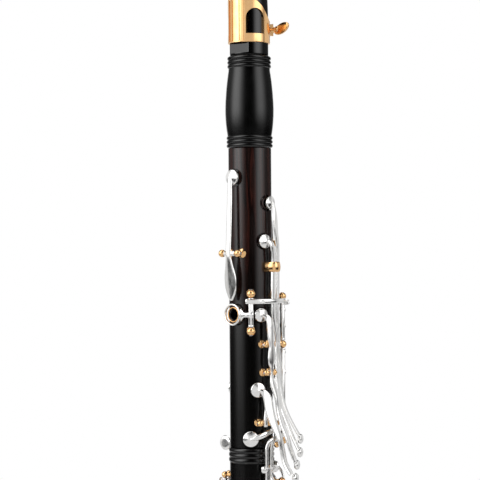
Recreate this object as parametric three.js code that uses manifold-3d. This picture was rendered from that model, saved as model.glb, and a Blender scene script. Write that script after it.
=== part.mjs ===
// A B-flat clarinet of the Boehm system: mouthpiece, barrel, two joints, bell and all its keywork.
//
// Millimetres. +Z runs up the bore from the centre of the bell rim to the mouthpiece tip.
// +Y is the thumb side, -Y the finger-hole side, -X the player's right and +X the player's left.
// Places round the body are given as (angle, radius, height): the angle is in degrees from the thumb
// side towards the player's right, so 0 is the thumb side, 90 the right, 180 the front and 270 the left.
import * as THREE from 'three';
import { mergeVertices } from 'three/addons/utils/BufferGeometryUtils.js';
import Module from 'manifold-3d';

const wasm = await Module();
wasm.setup();

// ---------------------------------------------------------------- driving dimensions

const GAP = 0.3;                  // clearance left between neighbouring solids
const BORE = 7.4;                 // bore radius
const UPPER_RADIUS = 14.8;        // outside of the upper joint
const LOWER_RADIUS = 15.0;        // outside of the lower joint at its top
const LOWER_FOOT_RADIUS = 16.4;   // outside of the lower joint at the bell
const TAPER_TOP = 240;            // below this height the lower joint widens
const BEAD_HEIGHT = 3.4;          // height of one of the three beads at the lower joint's socket
const BEAD_PROUD = 0.7;           // how far they stand out

const BELL_TOP = 102;             // heights of the joint lines
const LOWER_TOP = 330;
const UPPER_TOP = 535.5;
const BARREL_TOP = 598.6;
const TIP = 671;

const TOP_TENON = { radius: 10.8, length: 16.2 };     // upper joint into barrel, mouthpiece into barrel
const MIDDLE_TENON = { radius: 11.6, length: 17 };    // upper joint into lower joint
const BELL_TENON = { radius: 13.2, length: 18 };      // lower joint into bell
const CORK_DEPTH = 0.9;           // groove that holds a tenon cork
const CORK_PROUD = 0.1;           // how far a cork stands out of its groove
const CORK_MARGIN = 2.6;          // plain tenon left at each end of a cork

const PAD_SEAT = 0.3;             // closed pads stand this far off the body
const OPEN_PAD = 2.6;             // open-standing pads stand this far off the body
const ROD = 0.9;                  // hinge rod radius
const TUBE_BORE = 1.4;            // hinge tube bore radius
const TUBE = 1.75;                // hinge tube radius
const STRAP = 1.3;                // thickness of a key lever

const ROUND_BODY = 24;            // facets round a body
const ROUND_CUP = 8;              // facets round a pad cup, finger plate or tone hole
const ROUND_RING = 10;            // facets round a finger ring or its chimney
const ROUND_BORE = 12;            // facets round the bore, and round the tubes set in the wood
const ROUND_SMALL = 6;            // facets round a post or rod
const POST_GAP = 0.2;             // gap between a post's flange and the wood
const WELD = 1e-3;                // vertices closer than this are one

const DEGREE = Math.PI / 180;

// ---------------------------------------------------------------- places and solids

function polar([angle, radius, height]) {
  const turn = angle * DEGREE;
  return new THREE.Vector3(-radius * Math.sin(turn), radius * Math.cos(turn), height);
}

function outwardAt(angle) {
  return polar([angle, 1, 0]);
}

// Unit vector round the body, in the direction in which the angle grows.
function aroundAt(angle) {
  return polar([angle + 90, 1, 0]);
}

// Six times the signed volume tells whether the faces point out.
function facesPointIn(geometry) {
  const position = geometry.attributes.position;
  const index = geometry.index.array;
  const corner = [new THREE.Vector3(), new THREE.Vector3(), new THREE.Vector3()];
  let volume = 0;
  for (let i = 0; i < index.length; i += 3) {
    corner.forEach((vector, k) => vector.fromBufferAttribute(position, index[i + k]));
    volume += corner[0].dot(corner[1].cross(corner[2]));
  }
  return volume < 0;
}

function toSolid(geometry) {
  const bare = new THREE.BufferGeometry();
  bare.setAttribute('position', geometry.attributes.position.clone());
  bare.setIndex(geometry.index ?? [...Array(geometry.attributes.position.count).keys()]);
  const welded = mergeVertices(bare, WELD);
  const kept = [];
  const index = welded.index.array;
  for (let i = 0; i < index.length; i += 3) {
    const [a, b, c] = [index[i], index[i + 1], index[i + 2]];
    if (a !== b && b !== c && c !== a) kept.push(a, b, c);
  }
  welded.setIndex(kept);
  if (facesPointIn(welded)) kept.reverse();
  const mesh = new wasm.Mesh({
    numProp: 3,
    vertProperties: new Float32Array(welded.attributes.position.array),
    triVerts: new Uint32Array(kept),
  });
  return new wasm.Manifold(mesh);
}

function toGeometry(solid) {
  const mesh = solid.getMesh();
  const geometry = new THREE.BufferGeometry();
  geometry.setAttribute('position', new THREE.BufferAttribute(mesh.vertProperties, 3));
  geometry.setIndex(new THREE.BufferAttribute(mesh.triVerts, 1));
  geometry.computeVertexNormals();
  return geometry;
}

// Where straps and cups meet they can enclose a small void; filling it leaves one outer skin.
function filled(solid) {
  return solid.decompose().filter((shell) => shell.volume() > 0).reduce((whole, shell) => whole.add(shell));
}

function join(...parts) {
  return filled(parts.flat().map(toSolid).reduce((whole, part) => whole.add(part)));
}

function cut(whole, ...tools) {
  return tools.flat().map(toSolid).reduce((rest, tool) => rest.subtract(tool), whole);
}

// ---------------------------------------------------------------- basic shapes

// A turned shape about +Z. The profile is a list of [radius, height] that starts and ends on the axis.
function turned(profile, facets = ROUND_BODY) {
  const points = profile.map(([radius, height]) => new THREE.Vector2(radius, height));
  return new THREE.LatheGeometry(points, facets).rotateX(Math.PI / 2);
}

// A turned shape whose profile closes on itself round a hole.
function turnedRing(profile, facets = ROUND_BODY) {
  return turned([...profile, profile[0]], facets);
}

// Moves a shape made about +Z so that +Z points along `axis` and its origin is at `origin`.
function aim(geometry, origin, axis, spin = 0) {
  const up = new THREE.Vector3(0, 0, 1);
  const turn = new THREE.Quaternion().setFromUnitVectors(up, axis.clone().normalize());
  return geometry.rotateZ(spin).applyQuaternion(turn).translate(origin.x, origin.y, origin.z);
}

// Moves a shape made about +Z so that +Z points straight out of the body at this angle and height.
// The shape's X then runs round the body and its Y runs up.
function standOn(geometry, angle, height, radius = 0) {
  const place = polar([angle, radius, height]);
  const frame = new THREE.Matrix4().makeBasis(
    aroundAt(angle).negate(), new THREE.Vector3(0, 0, 1), outwardAt(angle));
  return geometry.applyMatrix4(frame).translate(place.x, place.y, place.z);
}

function cylinder(from, to, radius, facets = ROUND_SMALL) {
  const length = from.distanceTo(to);
  const profile = [[0, 0], [radius, 0], [radius, length], [0, length]];
  return aim(turned(profile, facets), from, to.clone().sub(from));
}

function box(width, depth, height, x, y, z) {
  return new THREE.BoxGeometry(width, depth, height).translate(x, y, z);
}

// A strap bent along a path of [angle, radius, height, width]; its flat face looks away from the bore.
function strap(path, thickness = STRAP) {
  const centres = path.map(polar);
  const vertices = [];
  centres.forEach((centre, i) => {
    const before = centres[Math.max(i - 1, 0)];
    const after = centres[Math.min(i + 1, centres.length - 1)];
    const along = after.clone().sub(before).normalize();
    const outward = new THREE.Vector3(centre.x, centre.y, 0).normalize();
    outward.addScaledVector(along, -outward.dot(along)).normalize();
    const across = along.clone().cross(outward).multiplyScalar(path[i][3] / 2);
    outward.multiplyScalar(thickness / 2);
    for (const [side, face] of [[1, 1], [-1, 1], [-1, -1], [1, -1]]) {
      const corner = centre.clone().addScaledVector(across, side).addScaledVector(outward, face);
      vertices.push(corner.x, corner.y, corner.z);
    }
  });
  const index = [0, 1, 2, 0, 2, 3];
  const last = 4 * (path.length - 1);
  for (let ring = 0; ring < last; ring += 4) {
    for (let k = 0; k < 4; k += 1) {
      const [a, b] = [ring + k, ring + (k + 1) % 4];
      index.push(a, a + 4, b + 4, a, b + 4, b);
    }
  }
  index.push(last, last + 2, last + 1, last, last + 3, last + 2);
  const geometry = new THREE.BufferGeometry();
  geometry.setAttribute('position', new THREE.Float32BufferAttribute(vertices, 3));
  geometry.setIndex(index);
  return geometry;
}

// A domed oval finger plate; `facing` is the way its face looks.
function plate(place, facing, width, height, thickness = 1.6) {
  const half = thickness / 2;
  const profile = [[0, -half], [0.42, -half], [0.5, 0], [0.4, half], [0, half * 1.4]];
  const shape = turned(profile, ROUND_CUP).scale(width, height, 1);
  const side = new THREE.Vector3(0, 0, 1).cross(facing).normalize();
  const frame = new THREE.Matrix4().makeBasis(side, facing.clone().cross(side), facing);
  return shape.applyMatrix4(frame).translate(place.x, place.y, place.z);
}

// ---------------------------------------------------------------- key fittings

// Pad and cup over a tone hole; `lift` is how far the pad's face stands off the body.
function padCup(angle, height, radius, lift = PAD_SEAT, seat = UPPER_RADIUS) {
  const padEdge = radius - 0.5;
  const profile = [
    [0, 0], [padEdge, 0], [padEdge, 0.9], [radius, 0.9], [radius, 2.2], [radius * 0.72, 3], [0, 3.3]];
  return standOn(turned(profile, ROUND_CUP), angle, height, seat + lift);
}

// Finger ring that lies round a tone hole chimney.
function fingerRing(angle, height, inner, outer, radius) {
  const profile = [[inner, 0], [outer, 0], [outer, 1.4], [inner, 1.4]];
  return standOn(turnedRing(profile, ROUND_RING), angle, height, radius);
}

// A key post: flange on the wood, stem, and ball centred on the hinge axis.
function post(angle, ballRadius, height, ball, seat) {
  const rise = ballRadius - seat - POST_GAP;
  const profile = [
    [0, 0], [ball * 0.75, 0], [ball * 0.45, 0.8], [ball * 0.45, rise - ball * 0.85],
    [ball * 0.94, rise - ball * 0.35], [ball * 0.94, rise + ball * 0.35], [ball * 0.4, rise + ball * 0.92],
    [0, rise + ball]];
  return standOn(turned(profile, ROUND_SMALL), angle, height, seat + POST_GAP);
}

// A cylinder on a hinge that lies along the body, from one height to another.
function cylinderAlong({ angle, radius }, low, high, thickness) {
  return cylinder(polar([angle, radius, low]), polar([angle, radius, high]), thickness);
}

// Hinges that lie along the body: one rod through posts at the given heights.
function postsAlong(hinge) {
  const { angle, radius, heights, ball, seat = UPPER_RADIUS } = hinge;
  const rod = cylinderAlong(hinge, Math.min(...heights), Math.max(...heights), ROD);
  return join(rod, heights.map((height) => post(angle, radius, height, ball, seat)));
}

// The barrel of a key on such a hinge, between two of its posts.
function tubeAlong(hinge, low, high) {
  const clear = hinge.ball * 0.97;
  return cylinderAlong(hinge, low + clear, high - clear, TUBE);
}

// Joins the pieces of a key and bores it for its rod.
function keyAlong(hinge, ...parts) {
  const [low, high] = [Math.min(...hinge.heights), Math.max(...hinge.heights)];
  return cut(join(...parts), cylinderAlong(hinge, low, high, TUBE_BORE));
}

// A point on a hinge that lies across the body, at `offset` round the body from its middle.
function acrossPoint({ angle, radius, height }, offset) {
  return polar([angle, radius, height]).addScaledVector(aroundAt(angle), offset);
}

function postsAcross({ angle, radius, height, offsets, ball = 2.15, seat = UPPER_RADIUS }) {
  const axis = { angle, radius, height };
  const rod = cylinder(
    acrossPoint(axis, Math.min(...offsets)), acrossPoint(axis, Math.max(...offsets)), ROD);
  const posts = offsets.map((offset) => {
    const turn = Math.atan2(offset, radius) / DEGREE;
    return post(angle + turn, Math.hypot(radius, offset), height, ball, seat);
  });
  return join(rod, posts);
}

function tubeAcross(axis, from, to) {
  return cylinder(acrossPoint(axis, from), acrossPoint(axis, to), TUBE, ROUND_SMALL);
}

function keyAcross(axis, ...parts) {
  const [low, high] = [Math.min(...axis.offsets), Math.max(...axis.offsets)];
  const bore = cylinder(acrossPoint(axis, low), acrossPoint(axis, high), TUBE_BORE, ROUND_SMALL);
  return cut(join(...parts), bore);
}

// ---------------------------------------------------------------- tone holes

const THUMB_HOLE = { angle: 0, height: 421.6 };
const UPPER_HOLES = [   // angle, height, hole radius
  [0, 421.6, 3.6], [180, 413, 3.8], [180, 381, 4], [180, 358, 4.2], [180, 425, 2.6], [180, 396, 3],
  [0, 515, 1.6], [180, 497, 3], [246, 484, 2.8], [102, 497.6, 3], [81, 471.4, 3], [69, 421.2, 3.2],
  [60, 370.3, 3.4], [42, 337, 4], [275, 370, 3.2]];
const LOWER_HOLES = [
  [180, 303, 4.3], [180, 282, 4.6], [180, 257, 4.8], [160, 316.5, 3.6], [140, 269.5, 3.6],
  [120, 218, 5.2], [180, 200, 5.6], [180, 167, 5.8], [180, 138, 5.8]];
const CHIMNEY = { radius: 5.9, top: 17.1 };           // raised rim that a finger ring lies round
const UPPER_RINGED = [[180, 413], [180, 381]];
const LOWER_RINGED = [[180, 303], [180, 282], [180, 257]];
const REGISTER_TUBE = { angle: 0, height: 515, inner: 1.2, outer: 2.3, foot: 4.6, top: 16.1 };
const BUSHING = { inner: 3.5, outer: 5.4, flange: 17.3 };

function drilled(holes) {
  return holes.map(([angle, height, radius]) => (
    cylinder(polar([angle, 3, height]), polar([angle, 24, height]), radius, ROUND_CUP)));
}

function chimneys(places) {
  return places.map(([angle, height]) => (
    cylinder(polar([angle, 10, height]), polar([angle, CHIMNEY.top, height]), CHIMNEY.radius, ROUND_RING)));
}

// ---------------------------------------------------------------- mouthpiece group

const SHANK = 13.3;               // mouthpiece radius
const TABLE = 9.9;                // height of the flat that the reed lies on
const BEAK = { foot: 640, tip: 0.9 };   // where the beak's slope starts, and how thick its tip is
const WINDOW = { width: 11.4, low: 637, high: 667, depth: 13, wall: 1.5 };
const REED = { width: 12.8, heel: 609.5, clamp: 640, tip: 0.5 };
const LIGATURE = { inner: 13.7, outer: 14.5, bottom: 606.5, top: 638, split: 3 };
const SCREW = { y: -18.2, height: 618.6, radius: 1.5 };

// A slab across the mouthpiece, centred on the bore, from its outline of [y, z].
function slab(outline, width) {
  const shape = new THREE.Shape(outline.map(([y, z]) => new THREE.Vector2(y, z)));
  const frame = new THREE.Matrix4().makeBasis(
    new THREE.Vector3(0, 1, 0), new THREE.Vector3(0, 0, 1), new THREE.Vector3(1, 0, 0));
  const solid = new THREE.ExtrudeGeometry(shape, { depth: width, bevelEnabled: false });
  return solid.applyMatrix4(frame).translate(-width / 2, 0, 0);
}

// Height of the beak's slope at a depth y: it runs from the front of the shank to the tip.
function beakHeight(y) {
  const run = TABLE - BEAK.tip + SHANK;
  return BEAK.foot + (y + SHANK) * (TIP - BEAK.foot) / run;
}

function beakDepth(height) {
  const run = TABLE - BEAK.tip + SHANK;
  return -SHANK + (height - BEAK.foot) * run / (TIP - BEAK.foot);
}

function mouthpiece() {
  const tenonFoot = BARREL_TOP - TOP_TENON.length;
  const shell = turned([
    [0, tenonFoot], ...tenonOutline(TOP_TENON.radius, tenonFoot, BARREL_TOP + GAP),
    [SHANK - 0.6, BARREL_TOP + GAP], [SHANK, BARREL_TOP + 1], [SHANK, BEAK.foot], [11.2, TIP], [0, TIP]]);
  const bore = socket(BORE, tenonFoot - 1, BEAK.foot + 6, ROUND_BORE);
  const table = box(40, 10, 72, 0, TABLE + 5, 639);
  const outside = [-SHANK * 2, SHANK * 1.5];
  const slope = slab([
    [outside[0], beakHeight(outside[0])], [outside[1], beakHeight(outside[1])], [outside[1], TIP + 50],
    [outside[0], TIP + 50]], SHANK * 4);
  const [back, deep] = [TABLE + 1, TABLE - WINDOW.depth];
  const window = slab([
    [back, WINDOW.low], [back, WINDOW.high], [beakDepth(WINDOW.high) + WINDOW.wall, WINDOW.high],
    [deep, beakHeight(deep) - 4 * WINDOW.wall], [deep, WINDOW.low]], WINDOW.width);
  return cut(toSolid(shell), bore, table, window, slope);
}

function reed() {
  const round = turned([[0, REED.heel], [SHANK, REED.heel], [SHANK, TIP], [0, TIP]]);
  const above = box(40, 40, 80, 0, TABLE + GAP - 20, 640);
  const sides = [-1, 1].map((side) => box(20, 40, 80, side * (REED.width / 2 + 10), 0, 640));
  const vamp = slab([[14, REED.clamp], [TABLE + GAP + REED.tip, TIP + 0.1], [14, TIP + 0.1]], 40);
  return cut(toSolid(round), above, sides, vamp);
}

function ligatureBand() {
  const band = turnedRing([
    [LIGATURE.inner, LIGATURE.bottom], [LIGATURE.outer, LIGATURE.bottom],
    [LIGATURE.outer, LIGATURE.top], [LIGATURE.inner, LIGATURE.top]]);
  const lugs = [-1, 1].map((side) => box(2.4, 7.4, 8, side * 3.1, SCREW.y + 1, SCREW.height));
  const slit = box(LIGATURE.split, 12, 40, 0, -16, LIGATURE.bottom + 16);
  const upperOpening = box(17, 12, 18, 0, -14, LIGATURE.top - 6);
  const window = box(8, 12, 14, 0, 14, LIGATURE.top - 8);
  const hole = cylinder(
    new THREE.Vector3(-10, SCREW.y, SCREW.height), new THREE.Vector3(10, SCREW.y, SCREW.height),
    SCREW.radius + GAP, ROUND_SMALL);
  return cut(join(band, lugs), slit, upperOpening, window, hole);
}

function ligatureScrew() {
  const at = (x) => new THREE.Vector3(x, SCREW.y, SCREW.height);
  const shaft = cylinder(at(-9), at(6), SCREW.radius, ROUND_SMALL);
  const collar = cylinder(at(-7), at(-5), 2.6, ROUND_SMALL);
  const paddle = turned([[0, -1], [5.2, -0.7], [5.2, 0.7], [0, 1]], ROUND_CUP).scale(1.2, 0.8, 1);
  return join(shaft, collar, paddle.rotateX(Math.PI / 2).translate(-14, SCREW.y, SCREW.height));
}

// ---------------------------------------------------------------- body joints

// A tenon with its cork groove, from foot to shoulder, as part of an outline.
function tenonOutline(radius, foot, shoulder) {
  const groove = radius - CORK_DEPTH;
  return [
    [radius, foot], [radius, foot + CORK_MARGIN], [groove, foot + CORK_MARGIN],
    [groove, shoulder - CORK_MARGIN], [radius, shoulder - CORK_MARGIN], [radius, shoulder]];
}

function tenonCork({ radius, length }, foot) {
  const [inner, outer] = [radius - CORK_DEPTH + GAP * 0.7, radius + CORK_PROUD];
  const [low, high] = [foot + CORK_MARGIN + GAP, foot + length - CORK_MARGIN - GAP];
  return toSolid(turnedRing([[inner, low], [outer, low], [outer, high], [inner, high]]));
}

// A round cutter on the axis of the bore.
function socket(radius, from, to, facets = ROUND_BODY) {
  return cylinder(new THREE.Vector3(0, 0, from), new THREE.Vector3(0, 0, to), radius, facets);
}

function barrel() {
  const rise = BARREL_TOP - UPPER_TOP;
  const belly = [   // radius, share of the way up
    [15.9, 0.17], [15.3, 0.19], [16.4, 0.3], [16.7, 0.42], [16, 0.58], [14.2, 0.81], [15, 0.84]];
  const body = turned([
    [0, UPPER_TOP + GAP], [15.9, UPPER_TOP + GAP],
    ...belly.map(([radius, share]) => [radius, UPPER_TOP + rise * share]),
    [15, BARREL_TOP - 0.4], [0, BARREL_TOP]]);
  const low = socket(TOP_TENON.radius + GAP + CORK_PROUD, UPPER_TOP, UPPER_TOP + TOP_TENON.length + 1);
  const high = socket(TOP_TENON.radius + GAP + CORK_PROUD, BARREL_TOP - TOP_TENON.length - 1, BARREL_TOP + 1);
  return cut(toSolid(body), low, high, socket(BORE, UPPER_TOP - 1, BARREL_TOP + 1));
}

function upperJoint() {
  const foot = LOWER_TOP - MIDDLE_TENON.length;
  const crown = UPPER_TOP + TOP_TENON.length;
  const body = turned([
    [0, foot], ...tenonOutline(MIDDLE_TENON.radius, foot, LOWER_TOP + GAP), [UPPER_RADIUS, LOWER_TOP + GAP],
    [UPPER_RADIUS, UPPER_TOP], ...tenonOutline(TOP_TENON.radius, UPPER_TOP, crown), [0, crown]]);
  const whole = join(body, chimneys(UPPER_RINGED));
  const seat = ({ angle, height }, depth, radius) => (
    cylinder(polar([angle, depth, height]), polar([angle, 24, height]), radius, ROUND_BORE));
  return cut(
    whole, socket(BORE, foot - 1, crown + 1, ROUND_BORE), drilled(UPPER_HOLES),
    seat(THUMB_HOLE, 9, BUSHING.outer + GAP), seat(REGISTER_TUBE, 3, REGISTER_TUBE.outer + GAP));
}

function lowerJoint() {
  const foot = BELL_TOP - BELL_TENON.length;
  const beads = LOWER_TOP - 3 * BEAD_HEIGHT;
  const body = turned([
    [0, foot], ...tenonOutline(BELL_TENON.radius, foot, BELL_TOP + GAP),
    [LOWER_FOOT_RADIUS, BELL_TOP + GAP], [LOWER_FOOT_RADIUS, BELL_TOP + 12], [LOWER_RADIUS, TAPER_TOP],
    [LOWER_RADIUS, beads], [LOWER_RADIUS + BEAD_PROUD, beads + 0.5], [LOWER_RADIUS + BEAD_PROUD, LOWER_TOP],
    [0, LOWER_TOP]]);
  const whole = join(body, chimneys(LOWER_RINGED));
  const fit = MIDDLE_TENON.radius + GAP + CORK_PROUD;
  const seat = socket(fit, LOWER_TOP - MIDDLE_TENON.length - 1, LOWER_TOP + 1);
  const bore = socket(BORE, foot - 1, LOWER_TOP, ROUND_BORE);
  return cut(whole, seat, bore, drilled(LOWER_HOLES));
}

const BELL_RIM = { inner: 34.6, outer: 39.8 };

function bell() {
  const fit = BELL_TENON.radius + GAP + CORK_PROUD;
  const shelf = BELL_TOP - BELL_TENON.length - 1;
  const outside = [[34, 11], [27.4, 27], [23, 46], [20.2, 66], [19.4, 78], [21.4, 86], [21.4, 95.6]];
  const inside = [[11.4, shelf], [12.4, 66], [15.4, 46], [20.4, 27], [27.6, 10]];
  return toSolid(turnedRing([
    [BELL_RIM.inner, 0], [BELL_RIM.outer, 0], [BELL_RIM.outer, 2.2], ...outside, [20.4, BELL_TOP],
    [fit, BELL_TOP], [fit, shelf], ...inside]));
}

function thumbBushing() {
  const lip = BUSHING.outer;
  const profile = [
    [BUSHING.inner, 10], [lip - 0.9, 10], [lip, 14], [lip, BUSHING.flange], [lip - 0.6, BUSHING.flange + 0.4],
    [BUSHING.inner + 0.3, BUSHING.flange + 0.4], [BUSHING.inner, BUSHING.flange]];
  return toSolid(standOn(turnedRing(profile, ROUND_BORE), THUMB_HOLE.angle, THUMB_HOLE.height));
}

function registerTube() {
  const { inner, outer, foot, top } = REGISTER_TUBE;
  const profile = [[inner, foot], [outer, foot], [outer, top], [inner, top]];
  return toSolid(standOn(turnedRing(profile, ROUND_BORE), REGISTER_TUBE.angle, REGISTER_TUBE.height));
}

// ---------------------------------------------------------------- hinges of the keywork

// Outside of the lower joint at a height: it widens evenly down to the step above the bell.
function lowerRadius(height) {
  const slope = (LOWER_FOOT_RADIUS - LOWER_RADIUS) / (TAPER_TOP - BELL_TOP - 12);
  return LOWER_RADIUS + Math.max(0, TAPER_TOP - height) * slope;
}

const ALONG = {                   // rods that lie along the body, and the heights of their posts
  thumb: { angle: 44, radius: 20.8, heights: [410.5, 435.9], ball: 2.95 },
  upperStack: { angle: 140, radius: 22, heights: [334, 400.3, 433.4], ball: 2.7 },
  throatGSharp: { angle: 222, radius: 19.8, heights: [452, 488], ball: 2.3 },
  eFlatSliver: { angle: 232, radius: 19.6, heights: [362, 378], ball: 2.3 },
  cSharpGSharp: { angle: 104, radius: 19.6, heights: [332.6, 347], ball: 2.15 },
  lowerStack: { angle: 122, radius: 21, heights: [251.5, 307], ball: 2.4, seat: LOWER_RADIUS },
  fSharpSliver: { angle: 148, radius: 18.6, heights: [263, 276.5], ball: 2.15, seat: LOWER_RADIUS },
  lowE: { angle: 100, radius: 21.5, heights: [128, 190, 246], ball: 2.3 },
  lowFSharp: { angle: 116, radius: 21.5, heights: [157, 200, 246], ball: 2.3 },
  lowF: { angle: 132, radius: 21.5, heights: [186, 246], ball: 2.3 },
  leftE: { angle: 292, radius: 20, heights: [230, 309.6], ball: 2.3, seat: LOWER_RADIUS },
  leftFSharp: { angle: 276, radius: 20, heights: [230, 309.6], ball: 2.3, seat: LOWER_RADIUS },
  leftF: { angle: 260, radius: 20, heights: [230, 309.6], ball: 2.3, seat: LOWER_RADIUS },
};

const ACROSS = {                  // rods that lie across the body, and how far round their posts stand
  register: { angle: 0, radius: 20, height: 463.3, offsets: [-7.5, 7.5], ball: 2.6 },
  throatA: { angle: 180, radius: 19.4, height: 470, offsets: [-5, 5] },
  trills: { angle: 100, radius: 17.9, height: 401.4, offsets: [-9.3, -2.1, 8.6] },
  sideFSharp: { angle: 85, radius: 19.6, height: 382.1, offsets: [-3.4, 3.4] },
  sideEFlat: { angle: 70.7, radius: 20, height: 348, offsets: [-3.5, 3.5] },
  aFlatEFlat: { angle: 158, radius: 20.4, height: 219.5, offsets: [-4, 4], seat: lowerRadius(219.5) },
};

// The wood tapers, so each post of a low key has its own seat.
function taperedPosts(hinge) {
  const { angle, radius, heights, ball } = hinge;
  const rod = cylinderAlong(hinge, Math.min(...heights), Math.max(...heights), ROD);
  return join(rod, heights.map((height) => post(angle, radius, height, ball, lowerRadius(height))));
}

// ---------------------------------------------------------------- upper joint keys

function registerKey() {
  return keyAcross(ACROSS.register,
    padCup(REGISTER_TUBE.angle, REGISTER_TUBE.height, 5.45, REGISTER_TUBE.top + PAD_SEAT - UPPER_RADIUS),
    tubeAcross(ACROSS.register, -5.2, 5.2),
    strap([[0, 19.4, 515, 3.6], [0, 19.9, 506, 4], [0, 20.6, 492, 4], [0, 21.5, 463.3, 4.6],
      [0, 21.2, 457, 6], [0, 20, 446, 10], [0, 19.2, 438, 9], [0, 18.9, 431.8, 4]]));
}

function throatAKey() {
  return keyAcross(ACROSS.throatA,
    padCup(180, 497, 4.6),
    tubeAcross(ACROSS.throatA, -3.1, 3.1),
    strap([[180, 18.3, 497, 3], [180, 19.8, 488, 3.8], [180, 20.7, 478, 4], [180, 20.7, 462, 4],
      [183, 20.5, 448, 5]]),
    plate(polar([184, 20.5, 445]), outwardAt(184), 7, 9));
}

function throatGSharpKey() {
  const tubeEnd = ALONG.throatGSharp.heights;
  return keyAlong(ALONG.throatGSharp,
    padCup(246, 484, 4.6),
    tubeAlong(ALONG.throatGSharp, tubeEnd[0], tubeEnd[1]),
    strap([[222, 21, 482, 3.2], [235, 20.2, 483, 3.2], [246, 18.3, 484, 3]]),
    strap([[222, 21, 459, 3.2], [213, 21, 457, 3.6], [207.5, 20.6, 450, 4]]),
    plate(polar([206.5, 20.6, 447]), outwardAt(206.5), 6.6, 9));
}

function thumbRingKey() {
  const [low, high] = ALONG.thumb.heights;
  return keyAlong(ALONG.thumb,
    fingerRing(0, THUMB_HOLE.height, 6.15, 7.6, 17.3),
    tubeAlong(ALONG.thumb, low, high),
    strap([[44, 21.6, 421.6, 5], [34, 20.2, 421.6, 3.6], [21, 18.2, 421.6, 5.4]]),
    strap([[37, 23, 430.8, 3.2], [44, 22.9, 430.8, 3.2], [60, 23.1, 430.8, 3.2], [76, 23.4, 430.8, 3.2],
      [92, 23.5, 430.8, 3.2], [108, 23.5, 430.8, 3.2], [129, 23.3, 430.8, 3.2]]));
}

// A key of the upper stack: finger ring, its arm, and the vent pad above it.
function ringWithVent(ringHeight, ventHeight) {
  const ventTop = UPPER_RADIUS + 2 + 3;
  return [
    fingerRing(180, ringHeight, 6.5, 7.8, 16.7),
    strap([[140, 22.8, ringHeight, 3.4], [150, 20.4, ringHeight, 3.2], [157.5, 17.6, ringHeight, 5]]),
    padCup(180, ventHeight, 4.2, 2),
    strap([[140, 22.8, ventHeight - 1, 2.8], [160, 21.5, ventHeight - 0.5, 2.8],
      [180, ventTop, ventHeight, 2.8]]),
  ];
}

function indexRingKey() {
  const [, middle, high] = ALONG.upperStack.heights;
  return keyAlong(ALONG.upperStack,
    tubeAlong(ALONG.upperStack, middle, high),
    ringWithVent(413, 425),
    strap([[140, 23.2, 428.8, 2.6], [134, 25.6, 429, 2.6], [126, 26.3, 429.6, 3]]));
}

function middleRingKey() {
  const [low, middle] = ALONG.upperStack.heights;
  return keyAlong(ALONG.upperStack,
    tubeAlong(ALONG.upperStack, low, middle),
    ringWithVent(381, 396),
    strap([[140, 23.4, 339.5, 3], [125, 24, 339.5, 3], [108, 23.5, 339, 3], [96, 23, 338, 3.2],
      [84, 22.6, 334.5, 4], [78, 22.2, 328, 4], [77, 21.9, 317.5, 4]]));
}

function eFlatSliverKey() {
  const [low, high] = ALONG.eFlatSliver.heights;
  return keyAlong(ALONG.eFlatSliver,
    padCup(275, 370, 4.6),
    tubeAlong(ALONG.eFlatSliver, low, high),
    strap([[232, 20.8, 370, 3.2], [252, 20.2, 370, 3.2], [275, 18.3, 370, 3]]),
    strap([[232, 20.8, 369.6, 3.4], [218, 19.6, 369.3, 3.6], [204, 18.9, 369, 4]]),
    plate(polar([200, 18.9, 369]), outwardAt(200), 7, 5.6));
}

function sideCTrillKey() {
  return keyAcross(ACROSS.trills,
    padCup(102, 497.6, 4.8),
    tubeAcross(ACROSS.trills, 3.5, 6.2),
    strap([[102, 18.3, 497.6, 3], [103, 19.6, 491, 3.8], [104, 19.7, 484, 4.2], [107, 19.7, 475, 4.2],
      [113.5, 19.7, 467, 4.2], [113.5, 19.7, 425, 4.2], [115, 19.8, 413, 3.4], [115, 20.2, 406, 2.6],
      [115, 20.2, 397, 2.6],
      [118.5, 20.4, 386, 3.6], [118.5, 21, 370, 3.8], [120, 24, 357, 4], [120.5, 29.5, 345, 4],
      [121, 33.6, 338, 4.4]]),
    plate(polar([121, 34.2, 336]), outwardAt(112), 6.4, 7, 2.4));
}

function sideBTrillKey() {
  return keyAcross(ACROSS.trills,
    padCup(81, 471.4, 4.8),
    tubeAcross(ACROSS.trills, 0.1, 3.2),
    strap([[81, 18.3, 471.4, 3], [90, 19.5, 470, 3.6], [97, 19.5, 464, 4.2], [96.5, 19.5, 455, 4.2],
      [96.3, 19.5, 425, 4.2], [101, 19.5, 413, 3.4], [105.4, 19.5, 407, 2.6], [105.4, 19.5, 395, 2.6],
      [107.5, 19.8, 386, 3.2], [107.5, 20.4, 372, 3.4], [108.5, 22.8, 358, 3.6], [111, 26.5, 347, 4],
      [112, 31, 336, 4.2], [112, 34.6, 329, 4.4]]),
    plate(polar([112, 35.4, 327.6]), outwardAt(106), 6.4, 7, 2.4));
}

function sideFSharpKey() {
  return keyAcross(ACROSS.sideFSharp,
    padCup(69, 421.2, 4.8),
    tubeAcross(ACROSS.sideFSharp, -1.3, 1.3),
    strap([[69, 18.3, 421.2, 3], [76, 19.6, 418, 3.8], [82, 20.8, 412, 4.2], [85, 21.4, 406, 2.6],
      [85, 21.4, 397, 2.6], [85, 21.2, 391, 4], [85, 20.9, 386, 2.2], [85, 20.9, 378, 2.2],
      [87, 21.2, 373, 4], [91.5, 21.9, 366, 4.2], [96, 23.2, 355, 4.2], [98, 25.4, 347, 4],
      [101.5, 28, 339.5, 4], [106, 29.9, 330, 4.2], [112, 32, 321, 4.4]]),
    plate(polar([116, 32.4, 318.6]), outwardAt(108), 6.4, 7, 2.4));
}

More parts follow.
